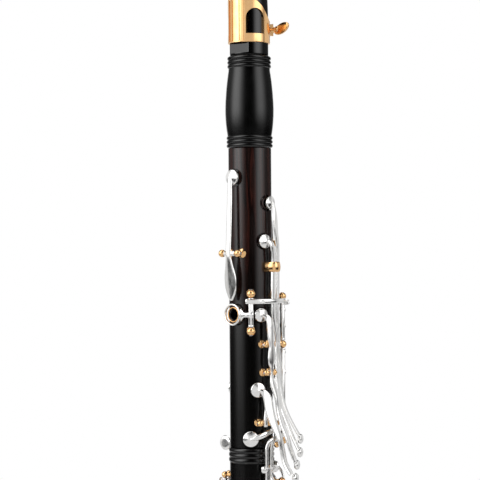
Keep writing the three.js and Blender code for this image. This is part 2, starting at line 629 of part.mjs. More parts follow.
function sideEFlatKey() {
  return keyAcross(ACROSS.sideEFlat,
    padCup(60, 370.3, 4.8),
    tubeAcross(ACROSS.sideEFlat, -1.4, 1.4),
    strap([[60, 18.3, 370.3, 3], [68, 19.8, 368, 4], [76, 20.8, 363.5, 5], [79.5, 21.6, 357, 5],
      [82.5, 23.6, 350.5, 4.6], [86, 25, 345, 4.4], [91, 26.4, 338.5, 4.4], [96.5, 27.3, 330, 4.2],
      [101, 29.4, 320, 4.2], [104.5, 32.4, 313, 4.4]]),
    strap([[70.7, 21.2, 346.6, 2.2], [70.7, 21.2, 350.5, 2.2], [75, 21.2, 358, 3.4], [76, 21, 362, 4]]),
    plate(polar([106, 33.4, 310.4]), outwardAt(100), 6.4, 7, 2.4));
}

function cSharpGSharpKey() {
  const [low, high] = ALONG.cSharpGSharp.heights;
  return keyAlong(ALONG.cSharpGSharp,
    padCup(42, 337, 5.4),
    tubeAlong(ALONG.cSharpGSharp, low, high),
    strap([[42, 18.3, 337, 3], [56, 19.2, 338.4, 3], [72, 19.2, 340.4, 3], [88, 19.2, 342.4, 3],
      [103, 19.8, 343, 3]]),
    strap([[105, 19.4, 340, 3], [118, 18.7, 341, 3], [134, 18.6, 341.5, 3], [150, 18.6, 341.4, 3],
      [166, 18.6, 340.6, 3], [182, 18.6, 339.4, 3], [198, 18.6, 338, 3], [214, 18.6, 336.6, 3],
      [230, 18.6, 335, 3], [246, 18.6, 333.4, 3], [262, 18.8, 332, 3], [280, 20, 331, 4]]),
    plate(new THREE.Vector3(22.2, 3.2, 331), new THREE.Vector3(0, -1, 0), 10.6, 10));
}

const GUIDE = { height: 454, width: 6.6, thickness: 0.9, foot: 15.9, cheek: 18.2, shoulder: 21.8, roof: 23 };

// Fixed saddle that keeps the side B lever in place and apart from the side C lever.
function trillGuide() {
  const path = [
    [86.4, GUIDE.foot], [87.2, GUIDE.cheek], [88.4, GUIDE.shoulder], [92, GUIDE.roof], [101, GUIDE.roof],
    [104.4, GUIDE.shoulder], [105, GUIDE.cheek], [105.3, GUIDE.foot]];
  const places = path.map(([angle, radius]) => [angle, radius, GUIDE.height, GUIDE.width]);
  return toSolid(strap(places, GUIDE.thickness));
}

// ---------------------------------------------------------------- lower joint keys

function lowerRingKey() {
  const [low, high] = ALONG.lowerStack.heights;
  const rings = LOWER_RINGED.flatMap(([angle, height]) => {
    const arm = Math.min(height, 300);
    return [
      fingerRing(angle, height, 6.5, 7.8, 16.8),
      strap([[122, 21.9, arm, 3.4], [140, 20.2, (arm + height) / 2, 3.2], [157.5, 17.7, height, 5]])];
  });
  return keyAlong(ALONG.lowerStack,
    tubeAlong(ALONG.lowerStack, low, high),
    rings,
    padCup(160, 315.2, 4.1, 2, LOWER_RADIUS),
    strap([[122, 21.9, 301.5, 3], [135, 22, 303.5, 2.8], [147, 21.6, 312, 2.8], [160, 19.9, 315.2, 2.8]]),
    strap([[122, 22.1, 301, 3.2], [106, 21.4, 302.5, 3.2], [92, 20.4, 306, 3.4], [82, 19.5, 311, 4],
      [80, 19.4, 316.5, 4.4]]),
    strap([[66, 19.4, 316.5, 4.4], [79, 19.4, 316.5, 4.4], [92, 19.4, 316.5, 4.4], [104, 19.4, 316.5, 4.4]]),
    strap([[79, 19.4, 318, 4.4], [79, 19.4, 303, 4.4], [79, 19.2, 290, 3.6]]));
}

function fSharpSliverKey() {
  const [low, high] = ALONG.fSharpSliver.heights;
  return keyAlong(ALONG.fSharpSliver,
    padCup(98, 270, 4.3, PAD_SEAT, LOWER_RADIUS),
    tubeAlong(ALONG.fSharpSliver, low, high),
    strap([[147, 17.7, 270, 3], [134, 17.4, 270, 3], [118, 17.4, 270, 3], [98, 18.3, 270, 3]], 1.1),
    strap([[148, 19.9, 269.6, 3.4], [159, 19.3, 269.6, 4]]),
    plate(polar([162, 19.2, 269.6]), outwardAt(162), 5.4, 6.6));
}

// An open-standing low key: pad, arm from its rod, tail that its left-hand lever presses.
function lowKey(hinge, { pad, tailHeight, overRods, touch }) {
  const { angle, radius, heights } = hinge;
  const outside = radius + TUBE * 0.7;
  const seat = lowerRadius(pad.height);
  const padTop = seat + OPEN_PAD + 3;
  const over = radius + 4.4;
  const crossing = overRods.map((turn) => [turn, over, tailHeight, 2.6]);
  const front = [[160, 20.6, tailHeight, 2.6], [180, 20.4, tailHeight, 2.6], [198, 20.4, tailHeight, 2.6],
    [216, 20.4, tailHeight, 2.6]];
  const spans = heights.slice(1).map((top, i) => tubeAlong(hinge, heights[i], top));
  const sleeves = heights.slice(1, -1).map((height) => bridgeOver(hinge, height));
  return keyAlong(hinge,
    spans, sleeves,
    padCup(180, pad.height, pad.radius, OPEN_PAD, seat),
    strap([[angle, outside, pad.height, 3.6], [(angle + 180) / 2, padTop + 0.6, pad.height, 3.6],
      [168, padTop, pad.height, 3.6], [180, padTop, pad.height, 3.6]]),
    strap([[angle, outside, tailHeight, 2.6], ...crossing, ...front]),
    cylinder(polar(touch.root), polar(touch.place), 1.5),
    plate(polar(touch.place), outwardAt(touch.place[0]), 8, 9));
}

// Joins the two halves of a long tube over the post that stands between them.
function bridgeOver({ angle, radius }, height) {
  const over = radius + 3.4;
  const foot = radius + 1.2;
  return strap([[angle, foot, height - 5, 3], [angle, over, height - 3, 3], [angle, over, height + 3, 3],
    [angle, foot, height + 5, 3]]);
}

function lowEKey() {
  return lowKey(ALONG.lowE, {
    pad: { height: 138, radius: 8 },
    tailHeight: 242,
    overRods: [112, 126, 142],
    touch: { root: [138, 25.9, 242.3], place: [138, 29.8, 241.2] },
  });
}

function lowFSharpKey() {
  return lowKey(ALONG.lowFSharp, {
    pad: { height: 167, radius: 7.8 },
    tailHeight: 238.5,
    overRods: [128, 142],
    touch: { root: [160, 20.8, 237.8], place: [160, 27.6, 238] },
  });
}

function lowFKey() {
  return lowKey(ALONG.lowF, {
    pad: { height: 196, radius: 7.4 },
    tailHeight: 235,
    overRods: [],
    touch: { root: [132.5, 22.6, 228], place: [138, 28.4, 227.5] },
  });
}

function aFlatEFlatKey() {
  const padHeight = 209.4;
  const seat = lowerRadius(padHeight);
  return keyAcross(ACROSS.aFlatEFlat,
    padCup(158, padHeight, 5.6, PAD_SEAT, seat),
    tubeAcross(ACROSS.aFlatEFlat, -2, 2),
    strap([[158, seat + 3.3, padHeight, 3.4], [158, 21.6, 214.5, 3.4], [158, 21.8, 219.5, 3],
      [159, 25.8, 228.6, 4]]),
    plate(polar([160, 26.3, 229]), outwardAt(160), 8, 8.2));
}

// A left-hand lever: touch near the middle joint, foot that lies over the tail of its low key.
function leftLever(hinge, { arm, touch, footHeight, overRods }) {
  const { angle, radius, heights } = hinge;
  const [low, high] = heights;
  const outside = radius + TUBE * 0.7;
  const crossing = overRods.map((turn) => [turn, radius + 3.8, footHeight, 2.6]);
  return keyAlong(hinge,
    tubeAlong(hinge, low, high),
    strap([[angle, outside, arm.root, 3.2], ...arm.path]),
    plate(polar(touch), outwardAt(touch[0]), 7, 9.4),
    strap([[angle, outside, footHeight, 2.6], ...crossing, [244, 22.8, footHeight, 2.6],
      [228, 22.5, footHeight, 2.6], [210, 22.3, footHeight, 2.6]]));
}

function leftELever() {
  return leftLever(ALONG.leftE, {
    arm: { root: 288, path: [[289.5, 23.6, 293, 3.4], [286, 24.2, 300, 4]] },
    touch: [285, 24.4, 302.5],
    footHeight: 242,
    overRods: [284, 272, 258],
  });
}

function leftFSharpLever() {
  return leftLever(ALONG.leftFSharp, {
    arm: { root: 288, path: [[271, 23.6, 293, 3.4], [265, 24.2, 298, 4]] },
    touch: [263.5, 24.4, 300],
    footHeight: 238.5,
    overRods: [268, 256],
  });
}

function leftFLever() {
  return leftLever(ALONG.leftF, {
    arm: { root: 288, path: [[253, 23.4, 289.6, 3.6], [245, 23.4, 292, 4]] },
    touch: [243, 23.4, 293],
    footHeight: 235,
    overRods: [253],
  });
}

// ---------------------------------------------------------------- thumb rest

const REST = { height: 276, width: 13, slideFace: 17.3, slideDepth: 1.6 };
const REST_SCREW = { height: 272, foot: 16.95, shaft: 1.5, head: 3.2 };

function thumbRestBase() {
  const path = [-24, -12, 0, 12, 24].map((angle) => [angle, 16.1, REST.height, 26]);
  return toSolid(strap(path, 1.1));
}

function thumbRest() {
  const middle = REST.slideFace + REST.slideDepth / 2;
  const slide = box(9, REST.slideDepth, 24, 0, middle, REST.height);
  const hook = box(REST.width, 13, 2, 0, REST.slideFace + 7, REST.height + 9);
  const lip = box(REST.width, 1.8, 4, 0, REST.slideFace + 13, REST.height + 10.6);
  const slot = box(4, 8, 16, 0, middle, REST.height - 4);
  return cut(join(slide, hook, lip), slot);
}

function thumbRestScrew() {
  const at = (y) => new THREE.Vector3(0, y, REST_SCREW.height);
  const face = REST.slideFace + REST.slideDepth + GAP;
  const shaft = cylinder(at(REST_SCREW.foot), at(face + 1), REST_SCREW.shaft);
  return join(shaft, cylinder(at(face), at(face + 1.8), REST_SCREW.head, ROUND_CUP));
}

// ---------------------------------------------------------------- materials and the assembly

const FINISH = {
  ebonite: { color: '#131313', roughness: 0.3, metalness: 0 },
  cane: { color: '#d9bd7c', roughness: 0.6, metalness: 0 },
  cork: { color: '#b98d5c', roughness: 0.9, metalness: 0 },
  grenadilla: { color: '#1f1412', roughness: 0.35, metalness: 0 },
  satin_black: { color: '#121212', roughness: 0.45, metalness: 0 },
  silver_plate: { color: '#e6e6e6', roughness: 0.16, metalness: 1 },
  gold_plate: { color: '#e0a45e', roughness: 0.18, metalness: 1 },
};

const clarinet = new THREE.Group();

function place(name, finish, solid) {
  const mesh = new THREE.Mesh(toGeometry(solid), new THREE.MeshStandardMaterial(FINISH[finish]));
  mesh.name = name;
  clarinet.add(mesh);
}

place('mouthpiece', 'ebonite', mouthpiece());
place('mouthpiece_cork', 'cork', tenonCork(TOP_TENON, BARREL_TOP - TOP_TENON.length));
place('reed', 'cane', reed());
place('ligature_band', 'gold_plate', ligatureBand());
place('ligature_screw', 'gold_plate', ligatureScrew());
place('barrel', 'satin_black', barrel());
place('upper_joint', 'grenadilla', upperJoint());
place('upper_tenon_cork', 'cork', tenonCork(TOP_TENON, UPPER_TOP));
place('middle_tenon_cork', 'cork', tenonCork(MIDDLE_TENON, LOWER_TOP - MIDDLE_TENON.length));
place('lower_joint', 'grenadilla', lowerJoint());
place('lower_tenon_cork', 'cork', tenonCork(BELL_TENON, BELL_TOP - BELL_TENON.length));
place('bell', 'grenadilla', bell());
place('thumb_bushing', 'gold_plate', thumbBushing());
place('register_tube', 'silver_plate', registerTube());
place('thumb_rest_base', 'silver_plate', thumbRestBase());
place('thumb_rest', 'silver_plate', thumbRest());
place('thumb_rest_screw', 'silver_plate', thumbRestScrew());

const KEYS = {
  register_key: registerKey, throat_a_key: throatAKey, throat_g_sharp_key: throatGSharpKey,
  thumb_ring_key: thumbRingKey, index_ring_key: indexRingKey, middle_ring_key: middleRingKey,
  e_flat_sliver_key: eFlatSliverKey, side_c_trill_key: sideCTrillKey, side_b_trill_key: sideBTrillKey,
  side_f_sharp_key: sideFSharpKey, side_e_flat_key: sideEFlatKey, c_sharp_g_sharp_key: cSharpGSharpKey,
  lower_ring_key: lowerRingKey, f_sharp_sliver_key: fSharpSliverKey, low_e_key: lowEKey,
  low_f_sharp_key: lowFSharpKey, low_f_key: lowFKey, a_flat_e_flat_key: aFlatEFlatKey,
  left_e_lever: leftELever, left_f_sharp_lever: leftFSharpLever, left_f_lever: leftFLever,
};
for (const [name, build] of Object.entries(KEYS)) place(name, 'silver_plate', build());

const POSTS = {
  register_posts: postsAcross(ACROSS.register), throat_a_posts: postsAcross(ACROSS.throatA),
  throat_g_sharp_posts: postsAlong(ALONG.throatGSharp), thumb_ring_posts: postsAlong(ALONG.thumb),
  upper_stack_posts: postsAlong(ALONG.upperStack), e_flat_sliver_posts: postsAlong(ALONG.eFlatSliver),
  trill_posts: postsAcross(ACROSS.trills), trill_guide: trillGuide(),
  side_f_sharp_posts: postsAcross(ACROSS.sideFSharp), side_e_flat_posts: postsAcross(ACROSS.sideEFlat),
  c_sharp_g_sharp_posts: postsAlong(ALONG.cSharpGSharp), lower_stack_posts: postsAlong(ALONG.lowerStack),
  f_sharp_sliver_posts: postsAlong(ALONG.fSharpSliver), low_e_posts: taperedPosts(ALONG.lowE),
  low_f_sharp_posts: taperedPosts(ALONG.lowFSharp), low_f_posts: taperedPosts(ALONG.lowF),
  a_flat_e_flat_posts: postsAcross(ACROSS.aFlatEFlat), left_e_posts: postsAlong(ALONG.leftE),
  left_f_sharp_posts: postsAlong(ALONG.leftFSharp), left_f_posts: postsAlong(ALONG.leftF),
};
for (const [name, solid] of Object.entries(POSTS)) place(name, 'gold_plate', solid);

export default clarinet;
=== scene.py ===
"""A B-flat clarinet of the Boehm system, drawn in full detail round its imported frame.

Sizes are millimetres and are turned into metres when a mesh is made. A place round the body is
(angle, radius, height): the angle is in degrees from the thumb side towards the player's right, so
0 is the thumb side, 90 the right, 180 the front and 270 the left.
"""
import math
import bmesh
import bpy
from mathutils import Matrix, Vector


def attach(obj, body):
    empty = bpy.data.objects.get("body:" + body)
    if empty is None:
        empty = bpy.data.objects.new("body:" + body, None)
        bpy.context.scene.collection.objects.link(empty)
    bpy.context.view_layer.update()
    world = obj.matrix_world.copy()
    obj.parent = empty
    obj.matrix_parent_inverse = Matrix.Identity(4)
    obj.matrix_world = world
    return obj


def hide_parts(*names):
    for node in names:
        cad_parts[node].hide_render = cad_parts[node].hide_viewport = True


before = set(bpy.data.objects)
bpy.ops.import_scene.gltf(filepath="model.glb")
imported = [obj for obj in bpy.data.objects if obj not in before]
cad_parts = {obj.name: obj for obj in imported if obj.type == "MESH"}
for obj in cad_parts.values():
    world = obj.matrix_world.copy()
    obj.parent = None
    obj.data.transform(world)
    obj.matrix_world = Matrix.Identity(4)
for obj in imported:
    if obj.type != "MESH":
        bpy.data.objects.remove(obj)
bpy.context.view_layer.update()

# ---------------------------------------------------------------- driving sizes

MM = 0.001
UPPER_RADIUS = 14.8              # outside of the upper joint
LOWER_RADIUS = 15.0              # outside of the lower joint at its top
LOWER_FOOT_RADIUS = 16.4         # outside of the lower joint at the bell
BORE = 7.4
BEAD_HEIGHT = 3.4                # one of the three beads at a joint's end
BEAD_PROUD = 0.7

BELL_TOP = 102.0                 # heights of the joint lines
LOWER_TOP = 330.0
UPPER_TOP = 535.5
BARREL_TOP = 598.6
TIP = 671.0

TOP_TENON = (10.8, 16.2)         # radius and length
MIDDLE_TENON = (11.6, 17.0)
BELL_TENON = (13.2, 18.0)
CORK_DEPTH = 0.9
CORK_PROUD = 0.1
CORK_MARGIN = 2.6
GAP = 0.3

PAD_SEAT = 0.3                   # closed pads stand this far off the wood
OPEN_PAD = 2.6                   # open pads stand this far off it
VENT_TOP = 16.1                  # end of the register tube, which stands proud of the wood
VENT_LIFT = VENT_TOP + PAD_SEAT - UPPER_RADIUS
ROD = 0.9                        # hinge rods
TUBE_BORE = 1.0                  # hinge tubes
TUBE = 1.72
STRAP = 1.35                     # thickness of a key lever
SKIN = 0.02                      # how far pieces that touch are kept apart

ROUND_BODY = 128                 # facets round a body, a cup and a rod
ROUND_CUP = 48
ROUND_ROD = 24
SHARP = math.radians(35)         # edges steeper than this stay crisp
X, Y, UP = Vector((1, 0, 0)), Vector((0, 1, 0)), Vector((0, 0, 1))

THUMB_HOLE = 421.6               # heights of the thumb hole and of the register vent
VENT = 515.0
BUSHING = 5.4                    # outside of the tubes that line them
VENT_TUBE = 2.3


# ---------------------------------------------------------------- places

def polar(angle, radius, height=0.0):
    turn = math.radians(angle)
    return Vector((-radius * math.sin(turn), radius * math.cos(turn), height))


def outward(angle):
    return polar(angle, 1)


def around(angle):
    """Unit vector round the body, in the direction in which the angle grows."""
    return polar(angle + 90, 1)


def lower_radius(height):
    return LOWER_RADIUS + max(0.0, 240 - height) * 0.0111


# ---------------------------------------------------------------- shells: (points, faces)

def moved(shell, matrix):
    points, faces = shell
    return [matrix @ point for point in points], faces


def axes(x_axis, y_axis, z_axis, origin=Vector((0, 0, 0))):
    matrix = Matrix((x_axis, y_axis, z_axis)).transposed().to_4x4()
    matrix.translation = origin
    return matrix


def standing(shell, angle, height, radius=0.0):
    """Turns +Z straight out of the body; the shell's X then runs round it and its Y runs up."""
    matrix = axes(around(angle), UP, outward(angle), polar(angle, radius, height))
    return moved(shell, matrix)


def aimed(shell, origin, axis, spin=0.0):
    """Turns +Z along an axis and moves the shell's origin to a place."""
    turn = axis.to_track_quat('Z', 'Y').to_matrix().to_4x4()
    return moved(shell, Matrix.Translation(origin) @ turn @ Matrix.Rotation(spin, 4, 'Z'))


def eased(outline, radius, closed=False, steps=4):
    """Rounds the corners of an outline of (radius, height)."""
    count = len(outline)
    result = []
    for i, corner in enumerate(outline):
        if not closed and i in (0, count - 1):
            result.append(corner)
            continue
        here = Vector(corner)
        before = Vector(outline[i - 1]) - here
        after = Vector(outline[(i + 1) % count]) - here
        reach = min(radius, before.length * 0.48, after.length * 0.48)
        start = here + before.normalized() * reach
        end = here + after.normalized() * reach
        for k in range(steps + 1):
            t = k / steps
            point = start * (1 - t) ** 2 + here * (2 * t * (1 - t)) + end * t ** 2
            result.append((max(point.x, 0.0), point.y))
    return result


def revolve(profile, facets=ROUND_CUP, closed=False):
    """Turns a profile of (radius, height) about +Z; a closed profile makes a ring."""
    points, rings, faces = [], [], []
    for radius, height in profile:
        if radius < 1e-5:
            rings.append([len(points)] * facets)
            points.append(Vector((0, 0, height)))
            continue
        rings.append(list(range(len(points), len(points) + facets)))
        for k in range(facets):
            turn = 2 * math.pi * k / facets
            points.append(Vector((radius * math.cos(turn), radius * math.sin(turn), height)))
    pairs = list(zip(rings, rings[1:]))
    if closed:
        pairs.append((rings[-1], rings[0]))
    for low, high in pairs:
        for k in range(facets):
            n = (k + 1) % facets
            face = list(dict.fromkeys((low[k], low[n], high[n], high[k])))
            if len(face) > 2:
                faces.append(face)
    return points, faces


def rod(start, end, radius, facets=ROUND_ROD, ease=0.15):
    length = (end - start).length
    outline = [(0, 0), (radius, 0), (radius, length), (0, length)]
    return aimed(revolve(eased(outline, ease, steps=2), facets), start, end - start)


def tube(start, end, outer=TUBE, inner=TUBE_BORE, facets=ROUND_ROD):
    length = (end - start).length
    outline = [(inner, 0), (outer, 0), (outer, length), (inner, length)]
    return aimed(revolve(eased(outline, 0.2, True, 2), facets, True), start, end - start)


def arc(start, end, steps):
    """Points of a unit circle from one angle to another, both ends included."""
    turns = [start + (end - start) * k / steps for k in range(steps + 1)]
    return [(math.cos(turn), math.sin(turn)) for turn in turns]


def skinned(points, size):
    """Closes a row of outlines, each of `size` points, into a solid with flat ends."""
    faces = []
    for first in range(0, len(points) - size, size):
        for k in range(size):
            a, b = first + k, first + (k + 1) % size
            faces.append([a, b, b + size, a + size])
    faces.append(list(range(size))[::-1])
    faces.append(list(range(len(points) - size, len(points))))
    return points, faces


def prism(outline, low, high):
    """A flat outline of (x, y) drawn out along Z."""
    return skinned([Vector((x, y, z)) for z in (low, high) for x, y in outline], len(outline))


def block(width, depth, height, centre):
    outline = [(width / 2 * i, depth / 2 * j) for i, j in ((1, 1), (-1, 1), (-1, -1), (1, -1))]
    return moved(prism(outline, -height / 2, height / 2), Matrix.Translation(centre))


def smooth_path(knots, step):
    """A smooth curve through knots, each a 4-vector of place and width."""
    spans = [max((b - a).to_3d().length, 1e-4) for a, b in zip(knots, knots[1:])]
    slopes = [(b - a) / span for a, b, span in zip(knots, knots[1:], spans)]
    tangents = [slopes[0]]
    for i in range(1, len(knots) - 1):
        before, after = spans[i - 1], spans[i]
        tangents.append((slopes[i - 1] * after + slopes[i] * before) / (before + after))
    tangents.append(slopes[-1])
    curve = []
    for i, span in enumerate(spans):
        count = max(2, math.ceil(span / step))
        for k in range(count):
            t = k / count
            curve.append(
                knots[i] * (2 * t ** 3 - 3 * t ** 2 + 1)
                + tangents[i] * span * (t ** 3 - 2 * t ** 2 + t)
                + knots[i + 1] * (3 * t ** 2 - 2 * t ** 3)
                + tangents[i + 1] * span * (t ** 3 - t ** 2))
    return curve + [knots[-1]]


def section(width, thickness, power, crown, count=20):
    """A rounded bar's outline: `power` 2 is an ellipse, more is squarer; `crown` domes its face."""
    outline = []
    for k in range(count):
        turn = 2 * math.pi * k / count
        c, s = math.cos(turn), math.sin(turn)
        x = math.copysign(abs(c) ** (2 / power), c)
        y = math.copysign(abs(s) ** (2 / power), s) * thickness / 2
        if s > 0:
            y += crown * (1 - x * x)
        outline.append((x * width / 2, y))
    return outline


def lever(path, thickness=STRAP, power=3.4, crown=0.22, step=1.3):
    """A forged key lever along a path of (angle, radius, height, width)."""
    knots = [polar(a, r, z).to_4d() for a, r, z, _ in path]
    for knot, (_, _, _, width) in zip(knots, path):
        knot.w = width
    return swept(smooth_path(knots, step), thickness, power, crown)


def level_lever(height, path, *shape):
    """A lever that runs round the body at one height; its path is (angle, radius, width)."""
    return lever([(angle, radius, height, width) for angle, radius, width in path], *shape)


def direction_at(curve, i):
    ahead, behind = curve[min(i + 1, len(curve) - 1)], curve[max(i - 1, 0)]
    return (ahead - behind).to_3d().normalized()


def swept(curve, thickness, power, crown):
    """A bar that follows a curve, its face turned out from the body, with rounded ends."""
    rings = []
    for i, knot in enumerate(curve):
        centre = Vector(knot[:3])
        along = direction_at(curve, i)
        out = Vector((centre.x, centre.y, 0)).normalized()
        out = (out - along * out.dot(along)).normalized()
        rings.append((centre, along, out, max(knot.w, 0.2), 1.0))
    caps = []
    steps = [(math.sin(math.radians(a)), math.cos(math.radians(a))) for a in (30, 55, 75)]
    for (centre, along, out, width, _), sign in ((rings[0], -1), (rings[-1], 1)):
        reach = along * sign * min(width, thickness) * 0.5
        caps.append([(centre + reach * shift, along, out, width, scale) for shift, scale in steps])
    rings = caps[0][::-1] + rings + caps[1]
    points = []
    for centre, along, out, width, scale in rings:
        across = out.cross(along)
        for x, y in section(width, thickness, power, crown):
            points.append(centre + across * x * scale + out * y * scale)
    return skinned(points, len(points) // len(rings))


def swept_flat(curve, thickness):
    """A bent sheet in the YZ plane, `w` wide along X, with rounded edges."""
    points = []
    for i, knot in enumerate(curve):
        out = X.cross(direction_at(curve, i))
        for x, y in section(knot.w, thickness, 5.0, 0.0, 32):
            points.append(Vector(knot[:3]) + X * x + out * y)
    return skinned(points, 32)


def wire(path, radius, step=1.0):
    return lever([(a, r, z, radius * 2) for a, r, z in path], radius * 2, 2.0, 0.0, step)


# ---------------------------------------------------------------- meshes and pieces

def flat(shells):
    """Every shell in a nest of lists of shells."""
    if isinstance(shells, tuple):
        yield shells
        return
    for item in shells:
        yield from flat(item)


def mesh_object(name, shells):
    points, faces = [], []
    for shell_points, shell_faces in flat(shells):
        first = len(points)
        points.extend(tuple(point * MM) for point in shell_points)
        faces.extend([first + k for k in face] for face in shell_faces)
    mesh = bpy.data.meshes.new(name)
    mesh.from_pydata(points, [], faces)
    work = bmesh.new()
    work.from_mesh(mesh)
    bmesh.ops.recalc_face_normals(work, faces=work.faces)
    work.to_mesh(mesh)
    work.free()
    obj = bpy.data.objects.new(name, mesh)
    bpy.context.scene.collection.objects.link(obj)
    return obj


def worked(obj, *steps):
    """Applies boolean steps, each ("UNION" or "DIFFERENCE", shells), and keeps the plain result."""
    tools = []
    for operation, shells in steps:
        for shell in flat(shells):
            tool = mesh_object(obj.name + "_tool", [shell])
            tools.append(tool)
            change = obj.modifiers.new("cut", 'BOOLEAN')
            change.operation = operation
            change.object = tool
            change.solver = 'MANIFOLD'
    bpy.context.view_layer.update()
    graph = bpy.context.evaluated_depsgraph_get()
    result = bpy.data.meshes.new_from_object(obj.evaluated_get(graph))
    obj.modifiers.clear()
    old = obj.data
    obj.data = result
    bpy.data.meshes.remove(old)
    for tool in tools:
        data = tool.data
        bpy.data.objects.remove(tool)
        bpy.data.meshes.remove(data)
    return obj


METAL_PARTS = bpy.data.collections.new("metal_parts")


def finished(obj, finish, body, *nodes):
    """Gives a mesh its finish, puts it on its body and hides the nodes that it stands for."""
    material, slot = FINISHES[finish]
    obj.data.materials.clear()
    obj.data.materials.append(material)
    obj.data.polygons.foreach_set("use_smooth", [True] * len(obj.data.polygons))
    obj.data.set_sharp_from_angle(angle=SHARP)
    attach(obj, body)
    if nodes:
        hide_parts(*nodes)
    if finish in METALS:
        METAL_PARTS.objects.link(obj)
    return obj


def piece(name, finish, body, shells, *nodes):
    return finished(mesh_object(name, shells), finish, body, *nodes)


# ---------------------------------------------------------------- finishes

def node_material(name):
    material = bpy.data.materials.new(name)
    material.use_nodes = True
    return material, material.node_tree, material.node_tree.nodes["Principled BSDF"]


def add(tree, kind, inputs=None, **settings):
    """Adds a node; an input given as a socket is linked and any other is set."""
    node = tree.nodes.new("ShaderNode" + kind)
    for key, value in settings.items():
        setattr(node, key, value)
    for key, value in (inputs or {}).items():
        if isinstance(value, bpy.types.NodeSocket):
            tree.links.new(value, node.inputs[key])
        else:
            node.inputs[key].default_value = value
    return node


def ramp(tree, factor, stops):
    """Maps a factor through stops of (position, colour or grey)."""
    node = add(tree, "ValToRGB", {"Fac": factor})
    elements = node.color_ramp.elements
    while len(elements) < len(stops):
        elements.new(0.5)
    for element, (position, colour) in zip(elements, stops):
        element.position = position
        element.color = (*colour, 1) if isinstance(colour, tuple) else (colour, colour, colour, 1)
    return node.outputs["Color"]


def place_in_metres(tree, scale=(1, 1, 1)):
    place = add(tree, "TexCoord").outputs["Object"]
    return add(tree, "Mapping", {"Vector": place, "Scale": scale}).outputs["Vector"]


def noise(tree, scale, detail=4.0, roughness=0.5, distortion=0.0):
    """Noise whose features are 1/scale metres long along each axis."""
    vector = place_in_metres(tree, scale)
    inputs = {
        "Vector": vector, "Scale": 1.0, "Detail": detail, "Roughness": roughness, "Distortion": distortion}
    return add(tree, "TexNoise", inputs).outputs["Fac"]


def mixed(tree, factor, one, two):
    node = add(tree, "Mix", data_type='RGBA')
    for key, value in ((0, factor), (6, one), (7, two)):
        if isinstance(value, bpy.types.NodeSocket):
            tree.links.new(value, node.inputs[key])
        else:
            node.inputs[key].default_value = (*value, 1) if isinstance(value, tuple) else value
    return node.outputs[2]


def between(tree, value, low, high):
    """Runs from 0 at low to 1 at high."""
    return add(tree, "MapRange", {"Value": value, "From Min": low, "From Max": high}).outputs["Result"]


def bump(tree, shader, height, distance, strength=1.0):
    node = add(tree, "Bump", {"Height": height, "Strength": strength, "Distance": distance})
    tree.links.new(node.outputs["Normal"], shader.inputs["Normal"])


def set_inputs(tree, shader, **inputs):
    for key, value in inputs.items():
        name = key.replace("_", " ")
        if isinstance(value, bpy.types.NodeSocket):
            tree.links.new(value, shader.inputs[name])
        else:
            shader.inputs[name].default_value = value


BLACK_WOOD = (0.0021, 0.0019, 0.0019)
DARK_HEART = (0.0065, 0.0028, 0.0024)
RED_HEART = (0.045, 0.0135, 0.0098)
GREY_SAP = (0.012, 0.0085, 0.0078)
PAINTED_SHADE_LOW, PAINTED_SHADE_HIGH = 0.405, 0.475      # painted shade: the red figure fades out between these heights, in metres, as the light falls off downwards


def grenadilla():
    """Oiled blackwood: red-brown figure high on the upper joint, fading to black below as painted shade for
    the light that falls off downwards, pores along the grain.
    """
    material, tree, shader = node_material("grenadilla")
    figure = noise(tree, (105, 105, 6.5), 4.0, 0.5, 1.2)
    streaks = noise(tree, (460, 460, 12), 6.0, 0.6)
    pores = noise(tree, (2600, 2600, 70), 2.0, 0.5)
    height = add(tree, "SeparateXYZ", {"Vector": place_in_metres(tree)}).outputs["Z"]
    # painted shade: the wood's red figure is faded to black lower down, where the studio light falls off
    red = between(tree, height, PAINTED_SHADE_LOW, PAINTED_SHADE_HIGH)
    heart = ramp(tree, figure, [(0.36, RED_HEART), (0.44, GREY_SAP), (0.49, DARK_HEART), (0.55, RED_HEART),
                                (0.64, GREY_SAP)])
    grained = mixed(tree, ramp(tree, streaks, [(0.42, 0.0), (0.72, 0.8)]), heart, DARK_HEART)
    colour = mixed(tree, red, BLACK_WOOD, grained)
    flecked = mixed(tree, ramp(tree, pores, [(0.3, 0.7), (0.42, 0.0)]), colour, BLACK_WOOD)
    gloss = ramp(tree, streaks, [(0.2, 0.15), (0.8, 0.23)])
    set_inputs(tree, shader, Base_Color=flecked, Roughness=gloss, IOR=1.5)
    bump(tree, shader, pores, 0.00002, 0.35)
    return material


def satin_black():
    """The barrel's satin synthetic wood: dead black with a fine turned texture."""
    material, tree, shader = node_material("satin_black")
    turned_lines = noise(tree, (60, 60, 5200), 3.0, 0.6)
    cloud = noise(tree, (180, 180, 120), 4.0)
    tone = ramp(tree, cloud, [(0.3, 0.0012), (0.8, 0.003)])
    gloss = ramp(tree, cloud, [(0.2, 0.2), (0.8, 0.27)])
    set_inputs(tree, shader, Base_Color=tone, Roughness=gloss, IOR=1.5)
    bump(tree, shader, turned_lines, 0.000012, 0.3)
    return material


def ebonite():
    """The mouthpiece's polished hard rubber."""
    material, tree, shader = node_material("ebonite")
    handling = noise(tree, (240, 240, 160), 5.0, 0.6)
    gloss = ramp(tree, handling, [(0.3, 0.07), (0.75, 0.13)])
    set_inputs(tree, shader, Base_Color=(0.0022, 0.0021, 0.0022, 1), Roughness=gloss, IOR=1.55)
    return material


